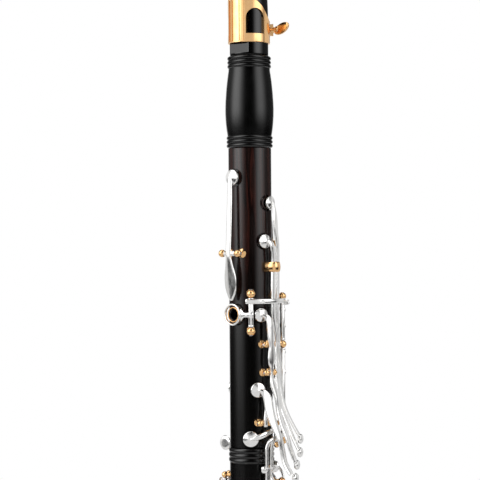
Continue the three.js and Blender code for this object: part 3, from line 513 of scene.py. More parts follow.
def plated(name, colour, worn, roughness):
    """Polished plate: buffing lines too fine to see, and a little tarnish in soft patches."""
    material, tree, shader = node_material(name)
    tarnish = noise(tree, (320, 320, 210), 5.0, 0.55)
    buffing = noise(tree, (1500, 1500, 5200), 2.0)
    tone = mixed(tree, ramp(tree, tarnish, [(0.42, 0.0), (0.8, 0.6)]), colour, worn)
    gloss = ramp(tree, tarnish, [(0.3, roughness), (0.8, roughness * 1.7)])
    set_inputs(tree, shader, Base_Color=tone, Metallic=1.0, Roughness=gloss)
    bump(tree, shader, buffing, 0.000006, 0.18)
    return material


def cork():
    """Tenon and key cork: warm brown with dark lenticels and an open surface."""
    material, tree, shader = node_material("cork")
    body = noise(tree, (900, 900, 900), 6.0, 0.65)
    cells = add(tree, "TexVoronoi", {"Vector": place_in_metres(tree), "Scale": 900.0}).outputs["Distance"]
    tone = ramp(tree, body, [(0.3, (0.2, 0.1, 0.045)), (0.6, (0.47, 0.28, 0.14)), (0.8, (0.6, 0.4, 0.22))])
    flecked = mixed(tree, ramp(tree, cells, [(0.05, 0.7), (0.2, 0.0)]), tone, (0.11, 0.05, 0.025))
    set_inputs(tree, shader, Base_Color=flecked, Roughness=0.85)
    bump(tree, shader, body, 0.00012, 0.6)
    return material


def cane():
    """The reed: golden glossy bark, pale scraped vamp, with fibres along its length."""
    material, tree, shader = node_material("cane")
    fibres = noise(tree, (3000, 3000, 30), 4.0, 0.6)
    stains = noise(tree, (500, 500, 130), 4.0)
    height = add(tree, "SeparateXYZ", {"Vector": place_in_metres(tree)}).outputs["Z"]
    vamp = between(tree, height, 0.6385, 0.6405)
    bark = ramp(tree, stains, [(0.35, (0.62, 0.43, 0.16)), (0.6, (0.7, 0.52, 0.22)),
                               (0.75, (0.4, 0.22, 0.07))])
    tone = mixed(tree, vamp, bark, (0.82, 0.68, 0.42))
    lined = mixed(tree, ramp(tree, fibres, [(0.4, 0.0), (0.8, 0.5)]), tone, (0.5, 0.35, 0.14))
    set_inputs(tree, shader, Base_Color=lined, Roughness=0.42)
    bump(tree, shader, fibres, 0.00003, 0.4)
    return material


def pad_skin():
    """Fish-skin pads: off-white, faintly wrinkled."""
    material, tree, shader = node_material("pad_skin")
    wrinkles = noise(tree, (1400, 1400, 1400), 5.0, 0.6, 0.6)
    tone = ramp(tree, wrinkles, [(0.3, (0.72, 0.66, 0.52)), (0.7, (0.86, 0.82, 0.7))])
    set_inputs(tree, shader, Base_Color=tone, Roughness=0.5, Subsurface_Weight=0.1)
    bump(tree, shader, wrinkles, 0.00005, 0.4)
    return material


def steel(name, colour, roughness):
    """Ground rod steel, with drawing marks round the rod."""
    material, tree, shader = node_material(name)
    marks = noise(tree, (900, 900, 6000), 3.0)
    tone = mixed(tree, ramp(tree, marks, [(0.35, 0.0), (0.75, 0.4)]), colour, (0.3, 0.3, 0.31))
    set_inputs(tree, shader, Base_Color=tone, Metallic=1.0, Roughness=roughness)
    bump(tree, shader, marks, 0.000008, 0.2)
    return material


FINISHES = {                     # finish: (material, the record's slot)
    "grenadilla": (grenadilla(), "grenadilla"),
    "satin_black": (satin_black(), "satin_black"),
    "ebonite": (ebonite(), "ebonite"),
    "silver": (plated("silver_plate", (0.94, 0.935, 0.925), (0.84, 0.82, 0.78), 0.15), "silver_plate"),
    "gold": (plated("gold_plate", (0.93, 0.575, 0.27), (0.8, 0.43, 0.17), 0.13), "gold_plate"),
    "cork": (cork(), "cork"),
    "cane": (cane(), "cane"),
    "pad": (pad_skin(), "silver_plate"),
    "steel": (steel("rod_steel", (0.62, 0.62, 0.63), 0.24), "silver_plate"),
    "spring": (steel("spring_steel", (0.16, 0.19, 0.3), 0.3), "silver_plate"),
}
METALS = ("silver", "gold", "steel", "spring")


# ---------------------------------------------------------------- body joints

def beads(foot, crown, count, radius, proud):
    """Turned beads between two heights, from bottom to top."""
    pitch = (crown - foot) / count
    outline = []
    for bead in range(count):
        for k in range(9):
            rise = math.sin(math.pi * k / 8) ** 0.6 if 0 < k < 8 else 0.0
            outline.append((radius + proud * rise, foot + pitch * (bead + k / 8 * 0.96 + 0.02)))
    return outline


def tenon_outline(radius, foot, shoulder):
    groove = radius - CORK_DEPTH
    return [
        (radius - 0.5, foot), (radius, foot + 0.5), (radius, foot + CORK_MARGIN),
        (groove, foot + CORK_MARGIN), (groove, shoulder - CORK_MARGIN),
        (radius, shoulder - CORK_MARGIN), (radius, shoulder)]


def tenon_cork(name, body, radius, foot, shoulder):
    """Sheet cork, slightly crowned, in its groove."""
    inner, outer = radius - CORK_DEPTH + SKIN, radius + CORK_PROUD
    low, high = foot + CORK_MARGIN + SKIN, shoulder - CORK_MARGIN - SKIN
    swell = [
        (outer - 0.35 * abs(2 * t / 10 - 1) ** 4, low + (high - low) * t / 10) for t in range(11)]
    sheet = revolve([(inner, low), *swell, (inner, high)], ROUND_BODY, True)
    piece(name + "_sheet", "cork", body, sheet, name)


def hole(angle, height, radius, start=3.0, end=24.0):
    return aimed(
        revolve([(0, 0), (radius, 0), (radius, end - start), (0, end - start)], 36),
        polar(angle, start, height), outward(angle))


def countersink(angle, height, hole_radius, pad_radius, seat):
    """The turned recess that leaves a raised rim for a pad to close on."""
    floor, top = seat - 1.5, seat + 3
    inner, outer = hole_radius + 0.9, pad_radius + 0.9
    profile = [(inner, floor + 0.3), (inner + 0.4, floor), (outer - 0.6, floor), (outer, floor + 0.6),
               (outer, top), (inner, top)]
    return standing(revolve(profile, 48, True), angle, height)


def chimney(angle, height, radius=5.9, top=17.1):
    outline = [(0, 10), (radius, 10), (radius, top), (0, top)]
    return standing(revolve(eased(outline, 0.5), 48), angle, height)


UPPER_PADS = [                   # angle, height, hole radius, pad radius
    (0, VENT, 1.6, 5.2), (180, 497, 3.0, 4.6), (246, 484, 2.8, 4.6), (93, 497.6, 3.0, 4.8),
    (81, 471.4, 3.0, 4.8), (69, 421.2, 3.2, 4.8), (60, 370.3, 3.4, 4.8), (42, 337, 3.6, 5.2),
    (275, 370, 3.2, 4.6), (180, 425, 2.6, 4.2), (180, 396, 3.0, 4.2)]
UPPER_FINGER_HOLES = [(180, 413, 3.8), (180, 381, 4.0), (180, 358, 4.2)]
LOWER_PADS = [
    (160, 315.2, 2.8, 4.1), (98, 270, 2.8, 4.3), (158, 209.4, 4.2, 5.6), (180, 196, 5.0, 7.4),
    (180, 167, 5.8, 7.8), (180, 138, 5.8, 8.0)]
LOWER_FINGER_HOLES = [(180, 303, 4.3), (180, 282, 4.6), (180, 257, 4.8)]
RINGED = (413, 381)              # the upper holes that have a raised chimney inside a ring


def drilled(pads, finger_holes, seat):
    for angle, height, hole_radius, pad_radius in pads:
        yield countersink(angle, height, hole_radius, pad_radius, seat(height))
        yield hole(angle, height, hole_radius)
    for angle, height, radius in finger_holes:
        yield hole(angle, height, radius)


def straight_bore(foot, crown, radius=BORE, facets=64):
    return rod(UP * foot, UP * crown, radius, facets, 0)


def socket(foot, crown, tenon):
    """The cut that a corked tenon slides into."""
    return straight_bore(foot, crown, tenon[0] + CORK_PROUD + SKIN, ROUND_BODY)


def upper_joint():
    foot, crown = LOWER_TOP - MIDDLE_TENON[1], UPPER_TOP + TOP_TENON[1]
    outline = [
        (0, foot), *tenon_outline(MIDDLE_TENON[0], foot, LOWER_TOP + GAP),
        (UPPER_RADIUS - 0.4, LOWER_TOP + GAP), (UPPER_RADIUS, LOWER_TOP + GAP + 0.4)]
    outline += [(UPPER_RADIUS, LOWER_TOP + (UPPER_TOP - LOWER_TOP) * k / 40) for k in range(1, 40)]
    outline += [
        (UPPER_RADIUS, UPPER_TOP - 0.4), (UPPER_RADIUS - 0.4, UPPER_TOP),
        *tenon_outline(TOP_TENON[0], UPPER_TOP, crown), (0, crown)]
    body = mesh_object("upper_joint_wood", revolve(outline, ROUND_BODY))
    ringed = [chimney(angle, height) for angle, height, _ in UPPER_FINGER_HOLES if height in RINGED]
    bushing_seat = hole(0, THUMB_HOLE, BUSHING + SKIN, 9)
    vent_seat = hole(0, VENT, VENT_TUBE + SKIN)
    cuts = [straight_bore(foot - 1, crown + 1), bushing_seat, vent_seat,
            *drilled(UPPER_PADS, UPPER_FINGER_HOLES, lambda height: UPPER_RADIUS)]
    worked(body, ("UNION", ringed), ("DIFFERENCE", cuts))
    finished(body, "grenadilla", "joints", "upper_joint")


def lower_joint():
    foot = BELL_TOP - BELL_TENON[1]
    beads_foot = LOWER_TOP - 3 * BEAD_HEIGHT
    outline = [
        (0, foot), *tenon_outline(BELL_TENON[0], foot, BELL_TOP + GAP),
        (LOWER_FOOT_RADIUS - 0.4, BELL_TOP + GAP),
        (LOWER_FOOT_RADIUS, BELL_TOP + GAP + 0.4), (LOWER_FOOT_RADIUS, BELL_TOP + 12)]
    outline += [(lower_radius(z), z) for z in range(120, 315, 6)]
    outline += [(LOWER_RADIUS, beads_foot - 0.6), *beads(beads_foot, LOWER_TOP, 3, LOWER_RADIUS, BEAD_PROUD)]
    outline += [(LOWER_RADIUS - 0.6, LOWER_TOP), (0, LOWER_TOP)]
    body = mesh_object("lower_joint_wood", revolve(outline, ROUND_BODY))
    ringed = [chimney(angle, height) for angle, height, _ in LOWER_FINGER_HOLES]
    cuts = [socket(LOWER_TOP - MIDDLE_TENON[1] - 1, LOWER_TOP + 1, MIDDLE_TENON),
            straight_bore(foot - 1, LOWER_TOP), *drilled(LOWER_PADS, LOWER_FINGER_HOLES, lower_radius)]
    worked(body, ("UNION", ringed), ("DIFFERENCE", cuts))
    finished(body, "grenadilla", "joints", "lower_joint")


def barrel():
    """Straight-sided beads at both ends of a waisted, full-bellied barrel; no metal rings."""
    rise = BARREL_TOP - UPPER_TOP
    belly = [(15.25, 0.143), (15.75, 0.19), (16.3, 0.27), (16.62, 0.35), (16.7, 0.42), (16.55, 0.5),
             (16.1, 0.61), (15.5, 0.71), (14.85, 0.79), (14.35, 0.84), (14.3, 0.862)]
    outline = [(0, UPPER_TOP + GAP), (15.1, UPPER_TOP + GAP)]
    outline += beads(UPPER_TOP + GAP, UPPER_TOP + rise * 0.133, 3, 15.15, 0.78)
    outline += [(radius, UPPER_TOP + rise * share) for radius, share in belly]
    outline += beads(UPPER_TOP + rise * 0.87, BARREL_TOP, 3, 14.25, 0.8)
    outline += [(14.1, BARREL_TOP), (0, BARREL_TOP)]
    body = mesh_object("barrel_body", revolve(outline, ROUND_BODY))
    length = TOP_TENON[1] + 1
    sockets = [socket(low, high, TOP_TENON) for low, high in (
        (UPPER_TOP - 1, UPPER_TOP + length), (BARREL_TOP - length, BARREL_TOP + 1))]
    worked(body, ("DIFFERENCE", [*sockets, straight_bore(UPPER_TOP - 1, BARREL_TOP + 1)]))
    finished(body, "satin_black", "barrel", "barrel")


def bell():
    """A flared bell with a rounded rim, a turned collar and a flare that opens smoothly."""
    fit = BELL_TENON[0] + CORK_PROUD + SKIN
    tenon_end = BELL_TOP - BELL_TENON[1] - 1
    knots = [(39.3, 3.0, 0, 0), (37.2, 6.2, 0, 0), (33.2, 12.5, 0, 0), (27.6, 26, 0, 0), (23.2, 45, 0, 0),
             (20.4, 65, 0, 0), (19.5, 77, 0, 0)]
    flare = [(knot[0], knot[1]) for knot in smooth_path([Vector(k) for k in knots], 2.0)]
    inside_knots = [(11.4, tenon_end, 0, 0), (12.4, 66, 0, 0), (15.4, 46, 0, 0), (20.4, 27, 0, 0),
                    (27.6, 10, 0, 0), (33.6, 2.2, 0, 0)]
    inside = [(knot[0], knot[1]) for knot in smooth_path([Vector(k) for k in inside_knots], 2.0)]
    rim = eased([(34.6, 0), (39.75, 0), (39.75, 2.6), flare[0]], 1.0)
    collar = beads(84, 96, 1, 20.3, 1.0)
    outline = [*rim, *flare[1:], (20.0, 81), (20.3, 83.6), *collar, (20.3, 96.6), (20.2, BELL_TOP - 0.4),
               (19.8, BELL_TOP), (fit, BELL_TOP), (fit, tenon_end), *inside]
    piece("bell_flare", "grenadilla", "bell", revolve(outline, ROUND_BODY, True), "bell")


def corks():
    tenon_cork("mouthpiece_cork", "mouthpiece", TOP_TENON[0], BARREL_TOP - TOP_TENON[1], BARREL_TOP)
    tenon_cork("upper_tenon_cork", "joints", TOP_TENON[0], UPPER_TOP, UPPER_TOP + TOP_TENON[1])
    tenon_cork("middle_tenon_cork", "joints", MIDDLE_TENON[0], LOWER_TOP - MIDDLE_TENON[1], LOWER_TOP)
    tenon_cork("lower_tenon_cork", "joints", BELL_TENON[0], BELL_TOP - BELL_TENON[1], BELL_TOP)


def ring_shell(outline, ease, height, facets=64):
    """A turned tube in the thumb side of the body."""
    return standing(revolve(eased(outline, ease, True), facets, True), 0, height)


def thumb_bushing():
    """The tube that lines the thumb hole: a gold lip round a black sleeve."""
    inner, sleeve, top = 3.5, 4.3, 17.7
    lip = [(sleeve, 9.6), (BUSHING - 0.3, 9.6), (BUSHING - 0.05, 16.4), (BUSHING, 17.2),
           (BUSHING - 0.5, top), (sleeve + 0.35, top), (sleeve, top - 0.5)]
    piece("thumb_bushing_tube", "gold", "joints", ring_shell(lip, 0.3, THUMB_HOLE), "thumb_bushing")
    lining = [(inner, 9.8), (sleeve - SKIN, 9.8), (sleeve - SKIN, top - 0.8), (inner + 0.4, top - 0.8),
              (inner, top - 1.4)]
    piece("thumb_bushing_sleeve", "ebonite", "joints", ring_shell(lining, 0.2, THUMB_HOLE))


def register_tube():
    inner, foot = 1.2, 4.6
    outline = [(inner, foot), (VENT_TUBE, foot), (VENT_TUBE, VENT_TOP), (inner, VENT_TOP)]
    piece("register_tube_liner", "silver", "joints", ring_shell(outline, 0.3, VENT, 48), "register_tube")


# ---------------------------------------------------------------- mouthpiece group

SHANK = 13.3
TABLE = 9.9                      # the flat that the reed lies on, and where it starts
TABLE_FOOT = 600.6
REED_HALF_WIDTH = 6.4
REED_HEEL = 609.5                # hidden under the ligature
VAMP = 640.0                     # where the reed's scrape and the beak both start


def beak_depth(height):
    """How far from the bore the beak's slope lies, towards the front; slightly dished."""
    share = min(1.0, max(0.0, (height - VAMP) / (TIP - VAMP)))
    return -SHANK + (SHANK + TABLE - 0.7) * share - 1.1 * math.sin(math.pi * share)


def side_taper(height):
    share = min(1.0, max(0.0, (height - VAMP + 12) / (TIP - VAMP + 12)))
    return 1 - 0.44 * share ** 1.5


def mouthpiece():
    foot = BARREL_TOP - TOP_TENON[1]
    heights = [TABLE_FOOT - 0.9, TABLE_FOOT - 0.2, TABLE_FOOT] + [
        TABLE_FOOT + (TIP - TABLE_FOOT) * k / 44 for k in range(1, 45)]
    outline = [(radius, z) for radius, z in tenon_outline(TOP_TENON[0], foot, BARREL_TOP + SKIN)]
    outline += [(SHANK - 0.7, BARREL_TOP + SKIN), (SHANK - 0.15, BARREL_TOP + 0.5)]
    rings = [(radius, z, False) for radius, z in outline]
    rings += [(SHANK, z, z > TABLE_FOOT - 0.1) for z in heights]
    points, faces = [Vector((0, 0, foot))], []
    for radius, z, flat_table in rings:
        for k in range(ROUND_BODY):
            turn = 2 * math.pi * k / ROUND_BODY
            x, y = radius * math.cos(turn), radius * math.sin(turn)
            if flat_table:
                y = min(y, TABLE)
                x *= side_taper(z)
                y = max(y, beak_depth(z)) if z > VAMP else y
            points.append(Vector((x, y, z)))
    last = len(points)
    points.append(Vector((0, TABLE - 0.3, TIP)))
    for k in range(ROUND_BODY):
        n = (k + 1) % ROUND_BODY
        faces.append([0, 1 + n, 1 + k])
        for ring in range(len(rings) - 1):
            a, b = 1 + ring * ROUND_BODY, 1 + (ring + 1) * ROUND_BODY
            faces.append([a + k, a + n, b + n, b + k])
        faces.append([last - ROUND_BODY + k, last - ROUND_BODY + n, last])
    body = mesh_object("mouthpiece_body", (points, faces))
    tip_round = [(7.6 * x, 8 * y) for x, y in arc(math.pi, 0, 24)]
    keep_out = [(9.5, -2), (9.5, 12), (-9.5, 12), (-9.5, -2), *tip_round]
    tip_cut = moved(prism(keep_out, -30, 30), axes(X, UP, -Y, UP * (TIP - 7.7)))
    wall, deep = 1.4, TABLE - 13.5
    room = [(TABLE + 1, 636), (TABLE + 1, 667), (beak_depth(667) + wall, 667), (deep, 643), (deep, 636)]
    chamber = moved(prism(room, -5.6, 5.6), axes(Y, UP, X))
    worked(body, ("DIFFERENCE", [straight_bore(foot - 1, 642), chamber, tip_cut]))
    finished(body, "ebonite", "mouthpiece", "mouthpiece")


def reed():
    """A cane blade: flat against the table, rounded bark behind, scraped vamp and rounded tip."""
    count, rows = 20, 60
    points = []
    for row in range(rows + 1):
        z = REED_HEEL + (TIP - 0.2 - REED_HEEL) * (1 - (1 - row / rows) ** 1.4)
        near_tip = max(0.0, z - (TIP - 4.2)) / 4.2
        half = REED_HALF_WIDTH * math.sqrt(max(0.02, 1 - near_tip ** 2))
        scrape = TABLE + SKIN + 0.25 + 3.0 * max(0.0, (TIP - z) / (TIP - VAMP)) ** 1.25
        for k in range(count + 1):
            x = half * (1 - 2 * k / count)
            bark = math.sqrt(SHANK ** 2 - x * x)
            y = bark if z < VAMP else min(bark, scrape * (1 - 0.012 * (x / half) ** 2))
            points.append(Vector((x, y, z)))
        for k in range(count + 1):
            points.append(Vector((-half * (1 - 2 * k / count), TABLE + SKIN, z)))
    piece("reed_blade", "cane", "mouthpiece", skinned(points, 2 * (count + 1)), "reed")


# ---------------------------------------------------------------- ligature

LIGATURE = {"inner": 13.45, "outer": 14.5, "low": 607.4, "high": 638.0}
LUG_HEIGHT = 618.6
LUG_SIDE = 3.1


def screw_point(x):
    """A place on the axis of the ligature's screw."""
    return Vector((x, -18.2, LUG_HEIGHT))


def arch(angle, half_width, low, shoulder, top):
    """A radial cutter with a straight foot and an arched top."""
    round_top = [(half_width * x, shoulder + (top - shoulder) * y) for x, y in arc(0, math.pi, 16)]
    outline = [(half_width, low), *round_top, (-half_width, low)]
    return standing(prism([(x, y - LUG_HEIGHT) for x, y in outline], 6, 30), angle, LUG_HEIGHT)


def ligature_band():
    """Inverted ligature: a broad plate over the reed, arched cheeks, and two lugs at the front."""
    low, high = LIGATURE["low"], LIGATURE["high"]
    outline = [(LIGATURE["inner"], low), (LIGATURE["outer"], low), (LIGATURE["outer"], high),
               (LIGATURE["inner"], high)]
    band = mesh_object("ligature_sheet", revolve(eased(outline, 0.3, True), ROUND_BODY, True))
    rib = prism(eased([(1.1, -14), (1.1, 14.4), (-1.1, 14.4), (-1.1, -14)], 0.8, True), 14.2, 15.1)
    ribs = [standing(rib, angle, 622.2) for angle in (-24, -12, 12, 24)]
    lugs = [block(2.4, 6.6, 8.4, Vector((x, -16.8, LUG_HEIGHT))) for x in (-LUG_SIDE, LUG_SIDE)]
    half_lug, eye = 1.2, 3.3
    eyes = [rod(screw_point(x - half_lug), screw_point(x + half_lug), eye) for x in (-LUG_SIDE, LUG_SIDE)]
    windows = [arch(side * 61.5, 6.4, 613.2, 624, 630.5) for side in (-1, 1)]
    crown_cut = [(14, 639.6), (7.5, 636.9), (1.8, 632), (-3.2, 626), (-7.5, 622.6), (-20, 622.4),
                 (-20, 650), (14, 650)]
    above = moved(prism(crown_cut, -20, 20), axes(Y, UP, X))
    slit = block(3.0, 14, 60, Vector((0, -16, 624)))
    bore = rod(screw_point(-10), screw_point(10), 1.55)
    worked(band, ("UNION", ribs + lugs + eyes), ("DIFFERENCE", windows + [above, slit, bore]))
    finished(band, "gold", "ligature", "ligature_band")


def ligature_screw():
    """Thumb screw: threaded shaft, turned collar and a flat paddle head."""
    start = screw_point(-8.6)
    thread = []
    for k in range(30):
        thread += [(1.35, k * 0.48), (1.5, k * 0.48 + 0.24)]
    shaft = aimed(revolve([(0, 0), *thread, (0, 14.4)], ROUND_ROD), start, X)
    collar_outline = eased([(0, -1.2), (1.6, -1.2), (1.4, 0.4), (2.2, 1.1), (2.2, 2.4), (1.6, 3.2),
                            (0, 3.2)], 0.4)
    collar = aimed(revolve(collar_outline, 36), screw_point(-8.2), -X)
    head = eased([(0, -1.15), (4.6, -1.0), (5.4, -0.5), (5.4, 0.5), (4.6, 1.0), (0, 1.15)], 0.4)
    paddle = moved(revolve(head, 48), Matrix.Diagonal((1.3, 0.67, 1, 1)))
    tilt = Matrix.Rotation(math.radians(20), 4, 'Y')
    paddle = moved(aimed(paddle, UP * 0, Y), Matrix.Translation(screw_point(-13.9)) @ tilt)
    piece("ligature_screw_paddle", "gold", "ligature_screw", [shaft, collar, paddle], "ligature_screw")


# ---------------------------------------------------------------- hinges of the keywork

ALONG = {                        # hinges along the body: angle, radius, heights of posts, ball radius
    "thumb_ring": (44, 20.8, (410.5, 435.9), 2.95),
    "upper_stack": (140, 22, (334, 400.3, 433.4), 2.7),
    "throat_g_sharp": (222, 19.8, (452, 488), 2.3),
    "e_flat_sliver": (232, 19.6, (362, 378), 2.3),
    "c_sharp_g_sharp": (104, 19.6, (332.6, 347), 2.15),
    "lower_stack": (122, 21, (251.5, 307), 2.4),
    "f_sharp_sliver": (148, 18.6, (263, 276.5), 2.15),
    "low_e": (100, 21.5, (128, 190, 246), 2.3),
    "low_f_sharp": (116, 21.5, (157, 200, 246), 2.3),
    "low_f": (132, 21.5, (186, 246), 2.3),
    "left_e": (292, 20, (230, 309.6), 2.3),
    "left_f_sharp": (276, 20, (230, 309.6), 2.3),
    "left_f": (260, 20, (230, 309.6), 2.3),
}
ACROSS = {                       # hinges across the body: angle, radius, height, offsets of posts, ball
    "register": (0, 20, 463.3, (-7.5, 7.5), 2.6),
    "throat_a": (180, 19.4, 470, (-5, 5), 2.15),
    "trill": (100, 17.9, 401.4, (-9.3, -2.1, 8.6), 2.15),
    "side_f_sharp": (85, 19.6, 382.1, (-3.4, 3.4), 2.15),
    "side_e_flat": (70.7, 20, 348, (-3.5, 3.5), 2.15),
    "a_flat_e_flat": (158, 20.4, 219.5, (-4, 4), 2.15),
}


def wood_radius(height):
    return UPPER_RADIUS if height > LOWER_TOP else lower_radius(height)


def post(angle, ball_radius, height, ball, flange):
    """Turned post: flange on the wood, waisted stem and a ball on the hinge's axis."""
    seat = wood_radius(height)
    rise = ball_radius - seat
    stem = ball * 0.42
    neck = max(1.15, rise - ball * 0.92)
    profile = [(0, -0.9), (flange, -0.9), (flange, 0.3), (flange * 0.86, 0.62), (stem * 1.5, 0.8),
               (stem, min(1.1, neck))]
    profile += [(ball * x, rise + ball * y) for x, y in arc(math.radians(-60), math.radians(90), 15)]
    return standing(revolve(profile, 40), angle, height, seat)


def slotted_head(centre, axis, radius, spin=0.5):
    """Screw head with a real slot: a round base under two half discs."""
    gap, depth = radius * 0.17, radius * 0.34
    start = math.acos(gap / radius)
    half = [(radius * x, radius * y) for x, y in arc(-start, start, 16)]
    shells = [revolve([(0, -radius), (radius, -radius), (radius, 0), (0, 0)], 28), prism(half, 0, depth),
              prism([(-x, y) for x, y in half[::-1]], 0, depth)]
    return [aimed(shell, centre, axis, spin) for shell in shells]


def posts(name, places, axis_ends, ball, flange):
    """The posts of one hinge, with the rod between them and a pivot screw at each end."""
    shells = [post(angle, radius, height, ball, flange) for angle, radius, height in places]
    piece(name + "_post_set", "gold", "joints", shells, name + "_posts")
    low, high = axis_ends
    along = (high - low).normalized()
    heads = slotted_head(low - along * ball * 0.88, -along, ball * 0.4)
    heads += slotted_head(high + along * ball * 0.88, along, ball * 0.4)
    piece(name + "_pivot", "steel", "joints", [rod(low, high, ROD), heads])


def along_posts(name):
    angle, radius, heights, ball = ALONG[name]
    ends = (polar(angle, radius, min(heights)), polar(angle, radius, max(heights)))
    posts(name, [(angle, radius, height) for height in heights], ends, ball, ball * 0.98)


def across_point(name, offset):
    angle, radius, height = ACROSS[name][:3]
    return polar(angle, radius, height) + around(angle) * offset


def across_posts(name):
    angle, radius, height, offsets, ball = ACROSS[name]
    places = [(angle + math.degrees(math.atan2(offset, radius)), math.hypot(radius, offset), height)
              for offset in offsets]
    ends = (across_point(name, min(offsets)), across_point(name, max(offsets)))
    posts(name, places, ends, ball, ball * 1.2)


def along_tube(name, low, high):
    """A hinge tube with a soldered collar at each end, between two posts."""
    angle, radius, _, ball = ALONG[name]
    low, high = low + ball * 1.0, high - ball * 1.0
    collars = [
        tube(polar(angle, radius, z), polar(angle, radius, z + 1.3), TUBE + 0.22) for z in (low, high - 1.3)]
    return [tube(polar(angle, radius, low), polar(angle, radius, high)), collars]


def across_tube(name, low, high):
    return tube(across_point(name, low), across_point(name, high), TUBE + 0.1)


# ---------------------------------------------------------------- key fittings

def cup(angle, height, radius, lift=PAD_SEAT):
    """A conical pad cup with a rolled edge, standing over its tone hole."""
    profile = [(0, 1.42), (radius - 0.42, 1.42), (radius - 0.42, 0.75), (radius, 0.7), (radius + 0.02, 1.7),
               (radius * 0.95, 2.05), (radius * 0.5, 2.84), (0, 3.6)]
    return standing(revolve(eased(profile, 0.32)), angle, height, wood_radius(height) + lift)


def pad(angle, height, radius, lift=PAD_SEAT):
    """The bladder pad that fills a cup, with the dent its tone hole has pressed in it."""
    edge = radius - 0.46
    profile = [(0, 0.12), (edge * 0.52, 0.12), (edge * 0.6, 0.0), (edge - 0.1, 0.02), (edge, 0.3),
               (edge, 1.4), (0, 1.4)]
    return standing(revolve(eased(profile, 0.25)), angle, height, wood_radius(height) + lift)


def finger_ring(angle, height, inner, outer, radius, thickness=1.45):
    """A ring whose top is rolled towards the hole it lies round."""
    profile = [(inner + 0.15, 0), (outer - 0.25, 0), (outer, thickness * 0.45), (outer - 0.35, thickness),
               (inner + 0.3, thickness + 0.05), (inner, thickness * 0.6)]
    return standing(revolve(eased(profile, 0.4, True), 64, True), angle, height, radius)


def touch(place, facing, width, height, thickness=1.6):
    """A domed finger plate with a thin edge."""
    profile = [(0, -0.5), (0.3, -0.5), (0.45, -0.34), (0.5, 0.05), (0.44, 0.42), (0.3, 0.6), (0.14, 0.7),
               (0, 0.72)]
    shell = revolve(eased([(r, z * thickness) for r, z in profile], 0.12), ROUND_CUP)
    shell = moved(shell, Matrix.Diagonal((width, height, 1, 1)))
    side = UP.cross(facing).normalized()
    return moved(shell, axes(side, facing.cross(side), facing, place))


def key_cork(angle, height, radius, width, depth=0.9):
    """A small cork bumper under a key's tail or touch."""
    shell = revolve(eased([(0, 0), (width / 2, 0), (width / 2, depth), (0, depth)], 0.25), 24)
    return standing(shell, angle, height, radius)


def key(name, metal, pads=(), corks=()):
    """One key: everything soldered together, then the pads and cork bumpers at their places."""
    cups = [cup(*place) for place in pads]
    piece(name + "_metal", "silver", name, [cups, metal], name)
    if pads:
        piece(name + "_pad", "pad", name, [pad(*place) for place in pads])
    if corks:
        piece(name + "_bumper", "cork", name, [key_cork(*place) for place in corks])


def needle_spring(name, from_height, to_height, drop=0.55):
    """A blued needle spring from a post, along the tube, to a catch on the key."""
    angle, radius, _, ball = ALONG[name]
    reach = radius - TUBE - drop
    sign = 1 if to_height > from_height else -1
    path = [(angle + 3, radius - ball * 0.45, from_height + sign * ball * 0.7),
            (angle + 3, reach + 0.1, (from_height * 2 + to_height) / 3), (angle + 2.4, reach, to_height)]
    piece(name + "_spring", "spring", "joints", wire(path, 0.26))


# ---------------------------------------------------------------- upper joint keys

def register_key():
    """Its pad closes the register tube, which stands proud of the wood."""
    key("register_key", [
        across_tube("register", -4.9, 4.9),
        lever([(0, 19.3, 515.4, 1.6), (0, 19.7, 511.5, 3.2), (0, 19.9, 505, 4.0), (0, 20.4, 492, 4.3),
               (0, 21.2, 475, 4.5), (0, 21.6, 466, 4.4), (0, 21.6, 461, 4.6), (0, 21.0, 455.6, 6.6),
               (0, 20.1, 448, 10.2), (0, 19.5, 441, 10.4), (0, 19.1, 435.4, 7.4), (0, 18.9, 431.8, 3.4)],
              1.5, 3.0, 0.5)],
        [(0, VENT, 5.45, VENT_LIFT)], [(0, 438, 17.6, 4.5)])


def throat_keys():
    key("throat_a_key", [
        across_tube("throat_a", -2.85, 2.85),
        lever([(180, 18.2, 497.4, 1.4), (180, 18.9, 493, 3.0), (180, 20.2, 486, 4.0), (180, 20.9, 475, 4.4),
               (180, 20.9, 462, 4.2), (182, 20.7, 452, 5.0), (184, 20.5, 446, 5.6)], 1.4, 3.2, 0.3),
        touch(polar(184, 20.5, 445), outward(184), 7, 9.4)],
        [(180, 497, 4.6)], [(183, 450, 19.2, 3.2)])
    key("throat_g_sharp_key", [
        along_tube("throat_g_sharp", 452, 488),
        lever([(222, 21, 482, 3.4), (235, 20.4, 483, 3.4), (246, 18.3, 484.2, 1.6)]),
        lever([(222, 21, 459, 3.4), (213, 21, 457, 3.8), (207.5, 20.6, 450, 4.6)]),
        touch(polar(206.5, 20.6, 447), outward(206.5), 6.6, 9.2)],
        [(246, 484, 4.6)], [(208, 450, 19.3, 3.0)])


